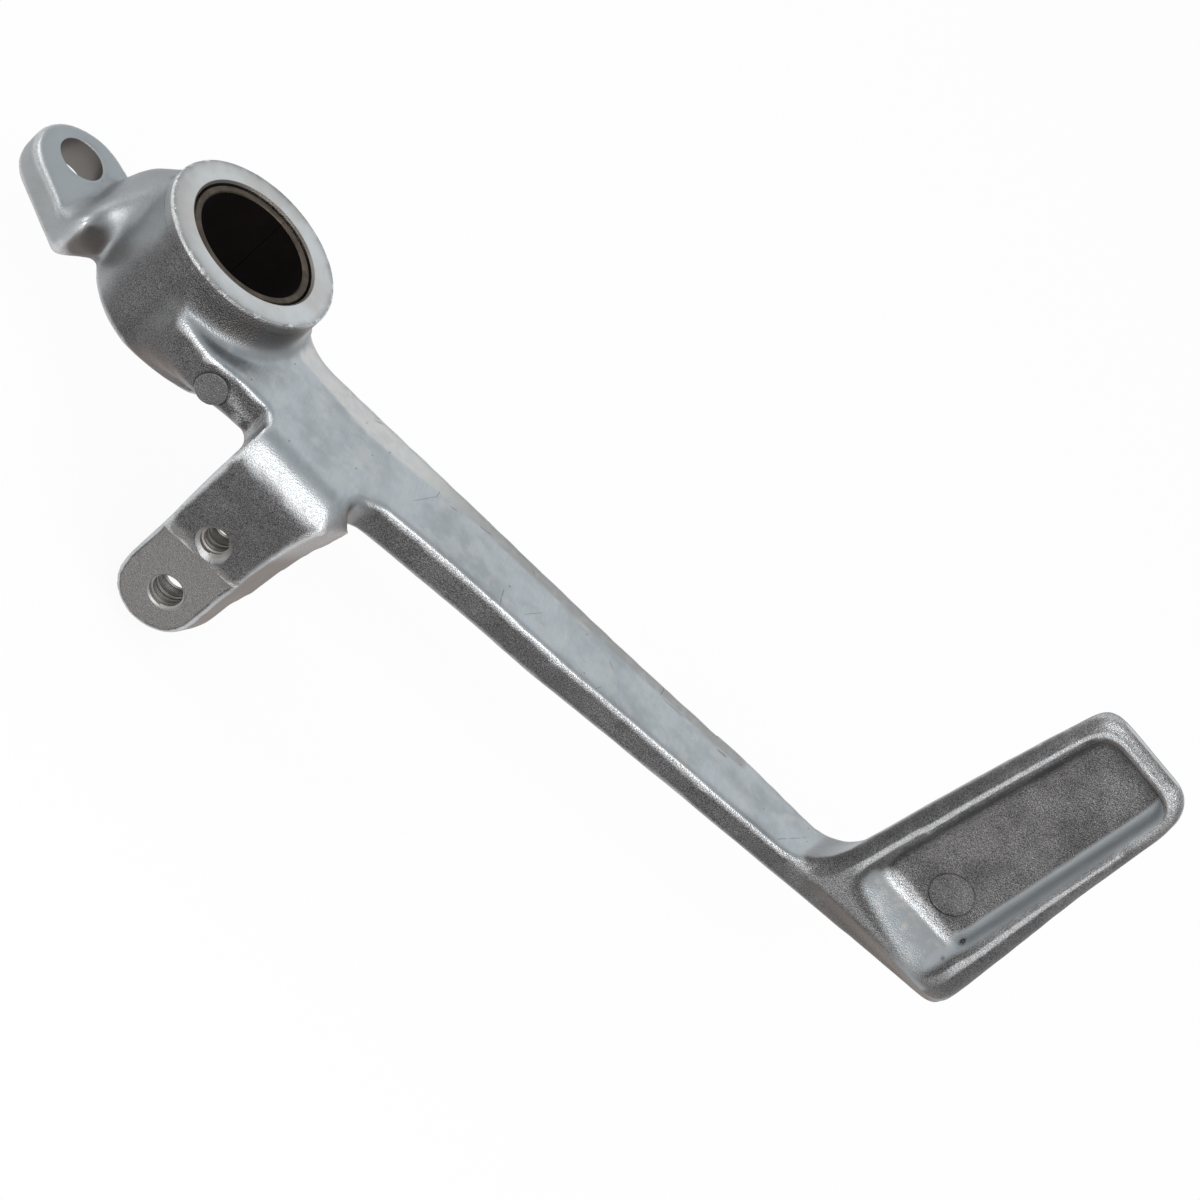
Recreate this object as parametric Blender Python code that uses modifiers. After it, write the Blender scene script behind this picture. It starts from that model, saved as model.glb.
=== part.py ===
"""Motorcycle rear brake pedal: one aluminium casting with a pressed-in pivot bush.

Metres, +Z along the pivot axis towards the outboard side of the machine, +X from the pivot to the
toe tray, -Y towards the foot face of the tray. The origin lies on the pivot axis, in the inboard
face of the boss. Sizes below are in millimetres and are multiplied by MM where they are used.
"""

import math

import bmesh
import bpy
from mathutils import Matrix, Vector

MM = 0.001

# Pivot boss and bush
BUSH_INNER_RADIUS = 10.0
BUSH_WALL = 1.3
BUSH_OUTER_RADIUS = BUSH_INNER_RADIUS + BUSH_WALL
BUSH_GAP = 0.3
BUSH_RECESS = 0.5
BORE_RADIUS = BUSH_OUTER_RADIUS + BUSH_GAP
BORE_MOUTH = 0.6
BOSS_WALL = 4.4
BOSS_RADIUS = BORE_RADIUS + BOSS_WALL
BOSS_LENGTH = 21.5
RING_EDGE = 0.5

# Arm
ARM_TOP = 14.5
ARM_ROOT_THICKNESS = 7.1
ARM_TOE_THICKNESS = 5.4
ARM_EDGE = 1.4
SKIRT_SPREAD = 2.8
SKIRT_RADIUS = BOSS_RADIUS + SKIRT_SPREAD
SKIRT_RISE = 3.0

# Cable lug
LUG_THICKNESS = 6.0
LUG_HOLE_X = -27.0
LUG_HOLE_Y = 8.7
LUG_HOLE_RADIUS = 4.1
LUG_TIP_X = -25.8
LUG_TIP_Y = 7.2
LUG_TIP_RADIUS = 9.3

# Switch bracket
TAB_TURN = math.radians(-11.0)
TAB_FACE = 27.2
TAB_THICKNESS = 7.3
TAB_TIP_Z = -27.5
TAB_BEND = 7.5
TAB_SIDE_DRAFT = 0.5
TAB_TIP_DROP = 2.2
HOLE_1_U = 30.6
HOLE_1_Z = -19.0
HOLE_1_RADIUS = 3.1
HOLE_2_U = 29.6
HOLE_2_Z = -5.1
HOLE_2_RADIUS = 2.6
FACING_STEP = 0.3
FACING_TOP_Z = -9.1

# Toe tray
TRAY_TURN = math.radians(-16.0)
TRAY_X = 137.5
TRAY_Y = -25.0
FLOOR_DEPTH = 4.2
LEDGE_DEPTH = 2.3


def clear_scene():
    for item in list(bpy.data.objects):
        bpy.data.objects.remove(item, do_unlink=True)


def new_collection(name, parent=None):
    made = bpy.data.collections.new(name)
    (parent or bpy.context.scene.collection).children.link(made)
    return made


def material(name, colour, roughness, metallic):
    made = bpy.data.materials.new(name)
    made.use_nodes = True
    shader = made.node_tree.nodes["Principled BSDF"]
    shader.inputs["Base Color"].default_value = (*colour, 1.0)
    shader.inputs["Roughness"].default_value = roughness
    shader.inputs["Metallic"].default_value = metallic
    made.diffuse_color = (*colour, 1.0)
    return made


def add_mesh(name, mesh, where):
    made = bpy.data.objects.new(name, mesh)
    where.objects.link(made)
    return made


def round_off(corners, radii, steps=4):
    """The outline with each corner replaced by an arc of its radius, made smaller where two would meet."""
    if not isinstance(radii, (list, tuple)):
        radii = [radii] * len(corners)
    count = len(corners)
    spots = [Vector(c) for c in corners]
    halves = []
    for i, here in enumerate(spots):
        back = (spots[i - 1] - here).normalized()
        ahead = (spots[(i + 1) % count] - here).normalized()
        halves.append(math.acos(max(-1.0, min(1.0, back.dot(ahead)))) / 2)
    reach = [r / math.tan(h) if r > 0 and h <= math.radians(88) else 0.0 for r, h in zip(radii, halves)]
    fit = [1.0] * count
    for i in range(count):
        j = (i + 1) % count
        room = (spots[j] - spots[i]).length * 0.98
        if reach[i] + reach[j] > room:
            share = room / (reach[i] + reach[j])
            fit[i] = min(fit[i], share)
            fit[j] = min(fit[j], share)
    points = []
    for i, here in enumerate(spots):
        back = (spots[i - 1] - here).normalized()
        ahead = (spots[(i + 1) % count] - here).normalized()
        half = halves[i]
        radius = radii[i] * fit[i]
        if reach[i] == 0.0:
            points.append(tuple(here))
            continue
        centre = here + (back + ahead).normalized() * (radius / math.sin(half))
        start = here + back * (radius / math.tan(half)) - centre
        end = here + ahead * (radius / math.tan(half)) - centre
        angle = start.angle_signed(end)
        for k in range(steps + 1):
            turned = start.copy()
            turned.rotate(Matrix.Rotation(-angle * k / steps, 2))
            points.append(tuple(centre + turned))
    return points


def inset(outline, distance):
    """The outline, listed clockwise, moved inwards by a small distance."""
    points = []
    for i, here in enumerate(outline):
        along = Vector(outline[(i + 1) % len(outline)]) - Vector(outline[i - 1])
        inward = Vector((along.y, -along.x)).normalized()
        points.append(tuple(Vector(here) + inward * distance))
    return points


def loft(name, rings, where):
    """A closed solid through rings with equal numbers of points, each ring listed in order."""
    bm = bmesh.new()
    rows = [[bm.verts.new(Vector(p) * MM) for p in ring] for ring in rings]
    count = len(rows[0])
    for low, high in zip(rows, rows[1:]):
        for i in range(count):
            j = (i + 1) % count
            bm.faces.new((low[i], low[j], high[j], high[i]))
    bm.faces.new(list(reversed(rows[0])))
    bm.faces.new(rows[-1])
    bmesh.ops.recalc_face_normals(bm, faces=bm.faces)
    mesh = bpy.data.meshes.new(name)
    bm.to_mesh(mesh)
    bm.free()
    return add_mesh(name, mesh, where)


def plate(name, outline, low, high, where):
    """A flat plate between two heights, made from a filled 2D curve."""
    curve = bpy.data.curves.new(name, "CURVE")
    curve.dimensions = "2D"
    curve.fill_mode = "BOTH"
    curve.extrude = (high - low) / 2 * MM
    spline = curve.splines.new("POLY")
    spline.points.add(len(outline) - 1)
    for point, (x, y) in zip(spline.points, outline):
        point.co = (x * MM, y * MM, 0.0, 1.0)
    spline.use_cyclic_u = True
    drawn = add_mesh(name + "_outline", curve, where)
    drawn.location = (0.0, 0.0, (low + high) / 2 * MM)
    bpy.context.view_layer.update()
    graph = bpy.context.evaluated_depsgraph_get()
    mesh = bpy.data.meshes.new_from_object(drawn.evaluated_get(graph))
    bm = bmesh.new()
    bm.from_mesh(mesh)
    bmesh.ops.transform(bm, matrix=drawn.matrix_world, verts=bm.verts)
    bmesh.ops.remove_doubles(bm, verts=bm.verts, dist=0.000005)
    bmesh.ops.dissolve_limit(bm, angle_limit=0.01, verts=bm.verts, edges=bm.edges)
    bmesh.ops.recalc_face_normals(bm, faces=bm.faces)
    bm.to_mesh(mesh)
    bm.free()
    bpy.data.objects.remove(drawn, do_unlink=True)
    return add_mesh(name, mesh, where)


def turned(name, profile, where, steps=64):
    """A solid of revolution about Z, from a closed profile of (radius, height)."""
    bm = bmesh.new()
    verts = [bm.verts.new((r * MM, 0.0, z * MM)) for r, z in profile]
    ends = verts if profile[0][0] == 0 else verts + verts[:1]
    for a, b in zip(ends, ends[1:]):
        bm.edges.new((a, b))
    bmesh.ops.spin(
        bm,
        geom=bm.verts[:] + bm.edges[:],
        cent=(0, 0, 0),
        axis=(0, 0, 1),
        angle=2 * math.pi,
        steps=steps,
        use_merge=True,
    )
    bmesh.ops.remove_doubles(bm, verts=bm.verts, dist=0.000005)
    bmesh.ops.recalc_face_normals(bm, faces=bm.faces)
    mesh = bpy.data.meshes.new(name)
    bm.to_mesh(mesh)
    bm.free()
    return add_mesh(name, mesh, where)


def hull(name, balls, where):
    """The convex hull of balls given as (x, y, z, radius)."""
    cloud = bmesh.new()
    for x, y, z, r in balls:
        bmesh.ops.create_uvsphere(
            cloud,
            u_segments=10,
            v_segments=6,
            radius=r * MM,
            matrix=Matrix.Translation(Vector((x, y, z)) * MM),
        )
    bm = bmesh.new()
    for vert in cloud.verts:
        bm.verts.new(vert.co)
    cloud.free()
    bmesh.ops.remove_doubles(bm, verts=bm.verts, dist=0.00001)
    bmesh.ops.convex_hull(bm, input=bm.verts)
    bmesh.ops.delete(bm, geom=[v for v in bm.verts if not v.link_faces], context="VERTS")
    bmesh.ops.recalc_face_normals(bm, faces=bm.faces)
    mesh = bpy.data.meshes.new(name)
    bm.to_mesh(mesh)
    bm.free()
    return add_mesh(name, mesh, where)


def cylinder(name, radius, low, high, matrix, where, steps=32):
    bm = bmesh.new()
    bmesh.ops.create_cone(
        bm,
        cap_ends=True,
        segments=steps,
        radius1=radius * MM,
        radius2=radius * MM,
        depth=(high - low) * MM,
        matrix=matrix @ Matrix.Translation((0, 0, (low + high) / 2 * MM)),
    )
    mesh = bpy.data.meshes.new(name)
    bm.to_mesh(mesh)
    bm.free()
    return add_mesh(name, mesh, where)


def combine(target, other, operation):
    made = target.modifiers.new(other.name, "BOOLEAN")
    made.operation = operation
    made.solver = "EXACT"
    made.object = other
    return made


def round_edges(obj, width, segments=2, angle=40):
    made = obj.modifiers.new("Edges", "BEVEL")
    made.width = width * MM
    made.segments = segments
    made.limit_method = "ANGLE"
    made.angle_limit = math.radians(angle)
    return made


def apply_modifiers(obj):
    bpy.context.view_layer.update()
    graph = bpy.context.evaluated_depsgraph_get()
    mesh = bpy.data.meshes.new_from_object(obj.evaluated_get(graph))
    obj.modifiers.clear()
    obj.data = mesh


def arm_thickness(x):
    """Thickness of the arm at a distance from the pivot, read off its lower edge."""
    share = max(0.0, min(1.0, (x - 54.0) / 70.0))
    return ARM_ROOT_THICKNESS + (ARM_TOE_THICKNESS - ARM_ROOT_THICKNESS) * share


def tab_point(u, n, z):
    """A point of the bracket from its place along the face, out from the pivot, and its height."""
    across = Vector((math.cos(TAB_TURN), math.sin(TAB_TURN)))
    outward = Vector((math.sin(TAB_TURN), -math.cos(TAB_TURN)))
    at = across * u + outward * n
    return (at.x, at.y, z)


def tray_point(e, d, z):
    """A point of the tray from its place across the rim, its depth behind the rim, and its height."""
    across = Vector((math.cos(TRAY_TURN), math.sin(TRAY_TURN)))
    inward = Vector((-math.sin(TRAY_TURN), math.cos(TRAY_TURN)))
    at = Vector((TRAY_X, TRAY_Y)) + across * e + inward * d
    return (at.x, at.y, z)


def make_boss(where):
    boss = turned(
        "boss",
        [
            (0.0, BOSS_LENGTH),
            (BOSS_RADIUS - RING_EDGE, BOSS_LENGTH),
            (BOSS_RADIUS, BOSS_LENGTH - RING_EDGE),
            (BOSS_RADIUS, 1.0),
            (BOSS_RADIUS - 0.3, 0.3),
            (BOSS_RADIUS - 1.0, 0.0),
            (0.0, 0.0),
        ],
        where,
    )
    return boss


ARM_OUTLINE = [
    ((0.0, 8.0), 0),
    ((13.5, 8.0), 0),
    ((16.8, 1.9), 3.0),
    ((22.3, -2.0), 8.0),
    ((46.0, -4.35), 0),
    ((66.0, -6.5), 0),
    ((91.0, -9.0), 0),
    ((120.0, -10.9), 0),
    ((134.6, -12.8), 0),
    ((150.0, -15.5), 0),
    ((150.0, -24.5), 0),
    ((128.0, -24.4), 0),
    ((111.5, -24.3), 0),
    ((95.0, -23.9), 0),
    ((78.5, -23.8), 0),
    ((62.0, -22.8), 0),
    ((48.5, -22.5), 0),
    ((39.2, -22.6), 5.0),
    ((34.0, -27.5), 0),
    ((16.25, -24.05), 0),
    ((16.3, -22.0), 1.0),
    ((10.0, -21.3), 3.0),
    ((4.0, -21.4), 4.0),
    ((-2.6, -19.0), 4.0),
    ((-9.0, -12.0), 0),
]


def make_arm(where):
    outline = round_off([c for c, _ in ARM_OUTLINE], [r for _, r in ARM_OUTLINE])
    low = ARM_TOP - ARM_ROOT_THICKNESS
    arm = plate("arm", outline, low, ARM_TOP, where)
    for vert in arm.data.vertices:
        if vert.co.z < (low + 1.0) * MM:
            vert.co.z = (ARM_TOP - arm_thickness(vert.co.x / MM)) * MM
    round_edges(arm, ARM_EDGE, 3)
    apply_modifiers(arm)

    skirt = turned(
        "skirt",
        [
            (0.0, ARM_TOP + SKIRT_RISE + 0.2),
            (BOSS_RADIUS - 0.5, ARM_TOP + SKIRT_RISE + 0.2),
            (BOSS_RADIUS, ARM_TOP + SKIRT_RISE),
            (BOSS_RADIUS + 0.25, ARM_TOP + SKIRT_RISE * 0.62),
            (BOSS_RADIUS + 0.9, ARM_TOP + SKIRT_RISE * 0.28),
            (BOSS_RADIUS + 1.9, ARM_TOP + SKIRT_RISE * 0.07),
            (SKIRT_RADIUS, ARM_TOP - 0.05),
            (SKIRT_RADIUS, ARM_TOP - 3.0),
            (0.0, ARM_TOP - 3.0),
        ],
        where,
        96,
    )
    keep = plate("skirt_keep", inset(outline, 0.5), 0.0, BOSS_LENGTH, where)
    combine(skirt, keep, "INTERSECT")
    apply_modifiers(skirt)

    under = hull(
        "root_under",
        [
            (-6.5, -13.0, 3.0, 1.0),
            (-2.0, -16.4, 4.5, 1.5),
            (4.0, -19.3, 7.0, 1.5),
            (9.0, -21.2, 9.5, 1.5),
            (15.0, -21.6, 9.5, 1.5),
            (-6.0, -13.5, 11.0, 1.5),
            (-2.0, -17.0, 11.0, 1.5),
            (4.5, -20.2, 10.6, 1.3),
            (4.2, -19.5, 12.4, 1.3),
            (14.2, -19.9, 12.4, 1.3),
            (14.0, -10.0, 7.0, 3.0),
            (14.0, 0.0, 7.0, 3.0),
            (4.0, -10.0, 3.0, 1.0),
        ],
        where,
    )
    return arm, skirt, keep, under


def make_lug(where):
    tip = Vector((LUG_TIP_X, LUG_TIP_Y))
    outline = [(-4.0, 2.0), (-15.9, -2.6), (-21.9, -8.3), (-22.5, -8.5), (-23.1, -8.1)]
    start = math.radians(225.4)
    end = math.radians(59.0)
    for k in range(25):
        angle = start + (end - start) * k / 24
        outline.append(
            (
                tip.x + LUG_TIP_RADIUS * math.cos(angle),
                tip.y + LUG_TIP_RADIUS * math.sin(angle),
            )
        )
    outline += [(-4.0, 4.6)]
    lug = plate("lug", outline, 0.04, LUG_THICKNESS, where)
    round_edges(lug, 1.1, 2)
    apply_modifiers(lug)
    gusset = hull(
        "gusset",
        [
            (-14.2, 3.0, 19.2, 0.8),
            (-14.4, 6.0, 18.2, 1.0),
            (-15.4, 7.4, 15.6, 1.2),
            (-17.2, 8.0, 13.6, 1.2),
            (-18.6, 6.9, 11.8, 1.2),
            (-19.6, 3.4, 11.3, 1.0),
            (-14.9, -0.2, 12.3, 0.8),
            (-15.0, -1.4, 8.8, 0.8),
            (-22.4, -4.6, 6.6, 0.8),
            (-19.9, 8.8, 5.4, 1.0),
            (-16.0, 10.0, 3.0, 1.0),
            (-8.0, 3.0, 1.5, 1.4),
            (-15.0, -1.6, 1.9, 0.8),
            (-8.0, 8.0, 15.0, 2.0),
        ],
        where,
    )
    corner = hull(
        "corner",
        [
            (-22.2, -7.6, 9.0, 0.7),
            (-21.4, -3.4, 9.4, 0.7),
            (-17.5, -3.3, 5.0, 0.6),
            (-23.9, -6.3, 5.6, 0.7),
            (-22.3, -7.6, 3.0, 0.8),
            (-21.8, -6.9, 1.5, 1.4),
            (-15.6, -2.6, 3.4, 0.7),
            (-13.6, 0.4, 3.4, 0.8),
        ],
        where,
    )
    return lug, gusset, corner


def make_tab(where):
    """The bracket: a plate bent down from the arm, wider at its back than at its face."""
    near = TAB_FACE
    far = TAB_FACE - TAB_THICKNESS
    front = round_off(
        [
            (20.9, ARM_TOP - 0.03),
            (21.2, 3.0),
            (21.9, -9.5),
            (22.3, TAB_TIP_Z),
            (37.2, TAB_TIP_Z),
            (37.0, -17.0),
            (36.95, -11.0),
            (37.1, -4.0),
            (37.55, 2.7),
            (38.0, 7.0),
            (38.5, 11.0),
            (38.8, ARM_TOP - 0.03),
        ],
        [0, 0, 0, 7.6, 7.4, 0, 0, 0, 0, 0, 0, 0],
        6,
    )
    flare = [
        # height, how far the back edge stands out past the front one
        (TAB_TIP_Z, 2.2),
        (-17.0, 2.7),
        (-11.0, 3.7),
        (-4.0, 3.8),
        (2.7, 4.0),
        (7.0, 4.7),
        (11.0, 5.8),
        (ARM_TOP, 0.6),
    ]
    back = []
    for u, z in front:
        shift = 0.0
        for (z0, f0), (z1, f1) in zip(flare, flare[1:]):
            if z0 <= z <= z1:
                shift = f0 + (f1 - f0) * (z - z0) / (z1 - z0)
        right = max(0.0, min(1.0, (u - 30.0) / 6.0))
        left = max(0.0, min(1.0, (26.0 - u) / 4.0))
        tip = max(0.0, min(1.0, (-20.0 - z) / 4.0)) * max(0.0, min(1.0, (u - 25.0) / 4.0))
        back.append((u + shift * right + TAB_SIDE_DRAFT * left, z - TAB_TIP_DROP * tip))
    leg = loft(
        "leg",
        [[tab_point(u, near, z) for u, z in front], [tab_point(u, far, z) for u, z in back]],
        where,
    )
    combine(leg, make_bend_cutter(where), "DIFFERENCE")
    combine(leg, make_facing(where), "DIFFERENCE")
    round_edges(leg, 0.9, 2, 50)
    apply_modifiers(leg)
    return leg


def arc_corner(n0, z0, radius, steps=5):
    """Points of a rounded outer corner, out and then down."""
    points = []
    for k in range(steps + 1):
        angle = math.pi / 2 * (1 - k / steps)
        points.append((n0 - radius + radius * math.cos(angle), z0 - radius + radius * math.sin(angle)))
    return points


def make_bend_cutter(where):
    """What the rounded bend takes off the outer corner of the bracket."""
    radius = TAB_BEND
    out = TAB_FACE
    profile = arc_corner(out + 0.02, ARM_TOP + 0.02, radius) + [
        (out + 3.0, ARM_TOP - radius),
        (out + 3.0, ARM_TOP + 3.0),
        (out - radius, ARM_TOP + 3.0),
    ]
    rings = [[tab_point(u, n, z) for n, z in profile] for u in (10.0, 50.0)]
    return loft("bend_cutter", rings, where)


def make_facing(where):
    """The shallow machined step round the lower bolt hole."""
    rings = []
    for n in (TAB_FACE - FACING_STEP, TAB_FACE + 3.0):
        rings.append(
            [
                tab_point(10.0, n, FACING_TOP_Z - 1.7),
                tab_point(50.0, n, FACING_TOP_Z + 1.7),
                tab_point(50.0, n, TAB_TIP_Z - 5.0),
                tab_point(10.0, n, TAB_TIP_Z - 5.0),
            ]
        )
    return loft("facing", rings, where)


TRAY_SECTIONS = [
    # height, front left, front right, back right, back left as (across, depth), then corner radii
    (9.2, (-9.0, -1.0), (30.4, 9.8), (28.4, 15.5), (-9.0, 9.7), (0.5, 1.5, 2.0, 0.5)),
    (11.0, (-9.0, -1.2), (31.1, 7.6), (28.9, 15.5), (-9.0, 9.8), (0.5, 2.5, 2.5, 0.5)),
    (13.0, (-9.0, -1.3), (31.2, 4.9), (29.0, 15.3), (-9.0, 9.9), (0.5, 3.5, 3.0, 0.5)),
    (14.3, (-7.8, -1.2), (31.1, 3.2), (29.0, 15.0), (-6.3, 10.6), (1.0, 4.5, 3.0, 1.0)),
    (15.2, (-5.2, -0.9), (31.0, 1.9), (29.0, 14.8), (-2.8, 11.7), (1.5, 4.8, 3.0, 2.0)),
    (16.6, (-3.7, -0.5), (30.9, 0.8), (28.9, 14.4), (-0.4, 12.4), (2.0, 4.8, 3.0, 2.5)),
    (18.6, (-2.6, 0.0), (30.7, 0.1), (28.7, 14.0), (1.0, 12.8), (2.4, 4.6, 3.0, 2.5)),
    (21.6, (-2.0, 0.0), (30.4, 0.0), (28.4, 13.4), (1.8, 12.6), (2.6, 4.5, 3.0, 2.5)),
    (28.0, (-1.7, 0.0), (29.7, 0.0), (27.8, 12.4), (2.3, 12.0), (2.7, 4.2, 3.0, 2.5)),
    (38.0, (-1.2, 0.0), (28.6, 0.0), (26.8, 11.0), (2.6, 10.8), (2.7, 3.9, 3.0, 2.5)),
    (50.0, (-0.4, 0.0), (27.3, 0.0), (25.6, 9.6), (3.0, 9.6), (2.7, 3.5, 3.0, 2.5)),
    (62.0, (0.5, 0.0), (26.4, 0.0), (24.9, 8.4), (3.6, 8.4), (2.7, 3.1, 3.0, 2.5)),
    (69.0, (1.0, 0.0), (26.0, 0.0), (24.4, 7.6), (4.2, 7.6), (2.7, 3.0, 3.0, 2.5)),
    (72.4, (1.6, 0.0), (25.3, 0.0), (23.6, 7.2), (4.0, 7.2), (2.6, 2.8, 2.8, 2.5)),
    (74.2, (1.9, 0.0), (24.2, 0.0), (22.8, 6.4), (4.4, 6.4), (2.4, 2.4, 2.4, 2.4)),
    (75.6, (2.9, 0.05), (22.8, 0.05), (21.6, 4.7), (5.0, 4.7), (1.8, 1.8, 1.8, 1.8)),
    (76.6, (4.4, 0.3), (21.2, 0.3), (20.4, 3.3), (6.2, 3.3), (1.1, 1.1, 1.1, 1.1)),
    (77.1, (6.2, 0.8), (19.4, 0.8), (18.8, 2.2), (8.2, 2.2), (0.5, 0.5, 0.5, 0.5)),
]


def make_tray(where):
    """The toe tray's outer skin, lofted from the arm up to the tip."""
    rings = []
    for z, front_left, front_right, back_right, back_left, radii in TRAY_SECTIONS:
        ring = round_off([front_left, front_right, back_right, back_left], list(radii), 4)
        rings.append([tray_point(e, d, z) for e, d in ring])
    return loft("tray", rings, where)


def make_pocket(where):
    """The tray's hollow, lofted down from the rim with a rounded lip, drafted walls and a rounded foot."""
    corners = [(4.1, 24.3), (22.9, 24.9), (21.9, 73.2), (6.5, 73.2)]
    lip = [(-1.0, 1.6), (0.0, 1.25), (0.3, 0.75), (0.8, 0.32), (1.6, 0.05)]
    foot = [(FLOOR_DEPTH - 1.4, -0.25), (FLOOR_DEPTH - 0.5, -0.7), (FLOOR_DEPTH, -1.6)]
    rings = []
    for depth, grow in lip + foot:
        middle = Vector((12.5, 50.0))
        moved = []
        for e, z in corners:
            side = 1 if e > middle.x else -1
            end = 1 if z > middle.y else -1
            moved.append((e + side * grow, z + end * grow))
        ring = round_off(moved, max(1.2, 3.4 + grow), 5)
        rings.append([tray_point(e, depth, z) for e, z in ring])
    return loft("pocket", rings, where)


LEDGE_RINGS = [
    # depth, growth of the two sides, height of the root side
    (-1.0, 1.6, 17.2),
    (0.0, 1.2, 18.0),
    (0.35, 0.7, 18.7),
    (0.8, 0.3, 19.6),
    (1.4, -0.2, 21.0),
    (1.9, -0.8, 22.6),
    (LEDGE_DEPTH, -2.0, 24.4),
]


def make_ledge(where):
    """The shallow ramp between the root rim and the deep floor."""
    rings = []
    for depth, grow, low in LEDGE_RINGS:
        corners = [
            (4.0 - grow, low + 0.4),
            (22.9 + grow, low - 3.6),
            (22.6 + grow, 31.5),
            (4.3 - grow, 31.5),
        ]
        ring = round_off(corners, max(0.8, 2.2 + grow), 4)
        rings.append([tray_point(e, depth, z) for e, z in ring])
    return loft("ledge", rings, where)


def tab_axis(u, z):
    """Places a cylinder's axis square to the bracket's face, its zero on the face."""
    spot = Vector(tab_point(u, TAB_FACE, z)) * MM
    inward = -(Vector(tab_point(0, 1, 0)) - Vector(tab_point(0, 0, 0)))
    turn = inward.to_track_quat("Z", "Y").to_matrix().to_4x4()
    return Matrix.Translation(spot) @ turn


def make_casting(parts, tools):
    boss = make_boss(parts)
    boss.name = "pedal_casting"
    arm, skirt, keep, under = make_arm(tools)
    lug, gusset, corner = make_lug(tools)
    leg = make_tab(tools)
    tray = make_tray(tools)
    adds = [arm, skirt, under, lug, gusset, corner, leg, tray]
    cuts = [
        make_pocket(tools),
        make_ledge(tools),
        cylinder(
            "lug_hole",
            LUG_HOLE_RADIUS,
            -2.0,
            LUG_THICKNESS + 2.0,
            Matrix.Translation((LUG_HOLE_X * MM, LUG_HOLE_Y * MM, 0.0)),
            tools,
        ),
        cylinder("tab_hole_1", HOLE_1_RADIUS, -2.0, 12.0, tab_axis(HOLE_1_U, HOLE_1_Z), tools),
        cylinder("tab_hole_2", HOLE_2_RADIUS, -2.0, 12.0, tab_axis(HOLE_2_U, HOLE_2_Z), tools),
        turned(
            "bore",
            [
                (0.0, BOSS_LENGTH + 1.0),
                (BORE_RADIUS + BORE_MOUTH + 1.0, BOSS_LENGTH + 1.0),
                (BORE_RADIUS, BOSS_LENGTH - BORE_MOUTH),
                (BORE_RADIUS, -2.0),
                (0.0, -2.0),
            ],
            tools,
        ),
    ]
    for other in adds:
        combine(boss, other, "UNION")
    for other in cuts:
        combine(boss, other, "DIFFERENCE")
    weld = boss.modifiers.new("Weld", "WELD")
    weld.merge_threshold = 0.00002
    apply_modifiers(boss)
    return boss


def make_bush(parts):
    top = BOSS_LENGTH - BUSH_RECESS
    return turned(
        "pivot_bush",
        [
            (BUSH_OUTER_RADIUS - 0.3, top),
            (BUSH_OUTER_RADIUS, top - 0.3),
            (BUSH_OUTER_RADIUS, BUSH_RECESS + 0.3),
            (BUSH_OUTER_RADIUS - 0.3, BUSH_RECESS),
            (BUSH_INNER_RADIUS + 0.3, BUSH_RECESS),
            (BUSH_INNER_RADIUS, BUSH_RECESS + 0.3),
            (BUSH_INNER_RADIUS, top - 0.3),
            (BUSH_INNER_RADIUS + 0.3, top),
        ],
        parts,
        72,
    )


def main():
    clear_scene()
    bpy.context.scene.unit_settings.system = "METRIC"
    parts = new_collection("rear_brake_pedal")
    tools = new_collection("pedal_tools")
    casting = make_casting(parts, tools)
    bush = make_bush(parts)
    casting.data.materials.append(material("cast_aluminium", (0.42, 0.44, 0.46), 0.38, 1.0))
    bush.data.materials.append(material("bush_bronze", (0.12, 0.085, 0.06), 0.45, 0.8))
    for item in (casting, bush):
        item.data.shade_smooth()
        item.data.set_sharp_from_angle(angle=math.radians(28))
    for tool in tools.objects:
        tool.hide_render = True
        tool.display_type = "WIRE"
    tools.hide_render = True


if __name__ == "__main__":
    main()
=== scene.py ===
"""Looks of a motorcycle rear brake pedal: a die-cast aluminium lever with a pressed-in pivot bush.

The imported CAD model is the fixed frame. The casting is remeshed and smoothed, so that its edges and
fillets get the soft radii of a die casting, and its machined faces, holes, screw threads and
ejector-pin marks are then cut sharp. Metres, +Z along the pivot axis, +X to the toe tray.
"""

import math

import bmesh
import bpy
import numpy as np
from bpy.props import FloatProperty, FloatVectorProperty, IntProperty, PointerProperty
from mathutils import Matrix, Vector, noise
from mathutils.bvhtree import BVHTree


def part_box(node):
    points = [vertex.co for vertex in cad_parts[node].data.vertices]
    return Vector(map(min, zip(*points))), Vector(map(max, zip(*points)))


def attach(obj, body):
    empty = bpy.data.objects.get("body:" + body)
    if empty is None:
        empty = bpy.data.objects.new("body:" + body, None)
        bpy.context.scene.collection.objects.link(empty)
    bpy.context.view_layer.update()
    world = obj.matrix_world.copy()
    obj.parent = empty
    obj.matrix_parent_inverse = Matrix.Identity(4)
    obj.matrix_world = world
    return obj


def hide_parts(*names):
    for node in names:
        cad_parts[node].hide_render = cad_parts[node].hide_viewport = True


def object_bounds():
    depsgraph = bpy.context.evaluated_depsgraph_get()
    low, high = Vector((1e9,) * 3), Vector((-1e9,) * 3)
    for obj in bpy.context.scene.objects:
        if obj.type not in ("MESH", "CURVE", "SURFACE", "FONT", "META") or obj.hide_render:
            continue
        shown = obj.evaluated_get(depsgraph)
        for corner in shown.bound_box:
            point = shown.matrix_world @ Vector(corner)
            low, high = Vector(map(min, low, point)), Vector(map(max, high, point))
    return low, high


bl_info = {
    "name": "Rear brake pedal",
    "version": (1, 0, 0),
    "blender": (4, 5, 0),
    "location": "View3D > Sidebar > Brake pedal",
    "description": "Builds the visible pieces of a cast rear brake pedal and its plain stage",
    "category": "Object",
}

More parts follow.
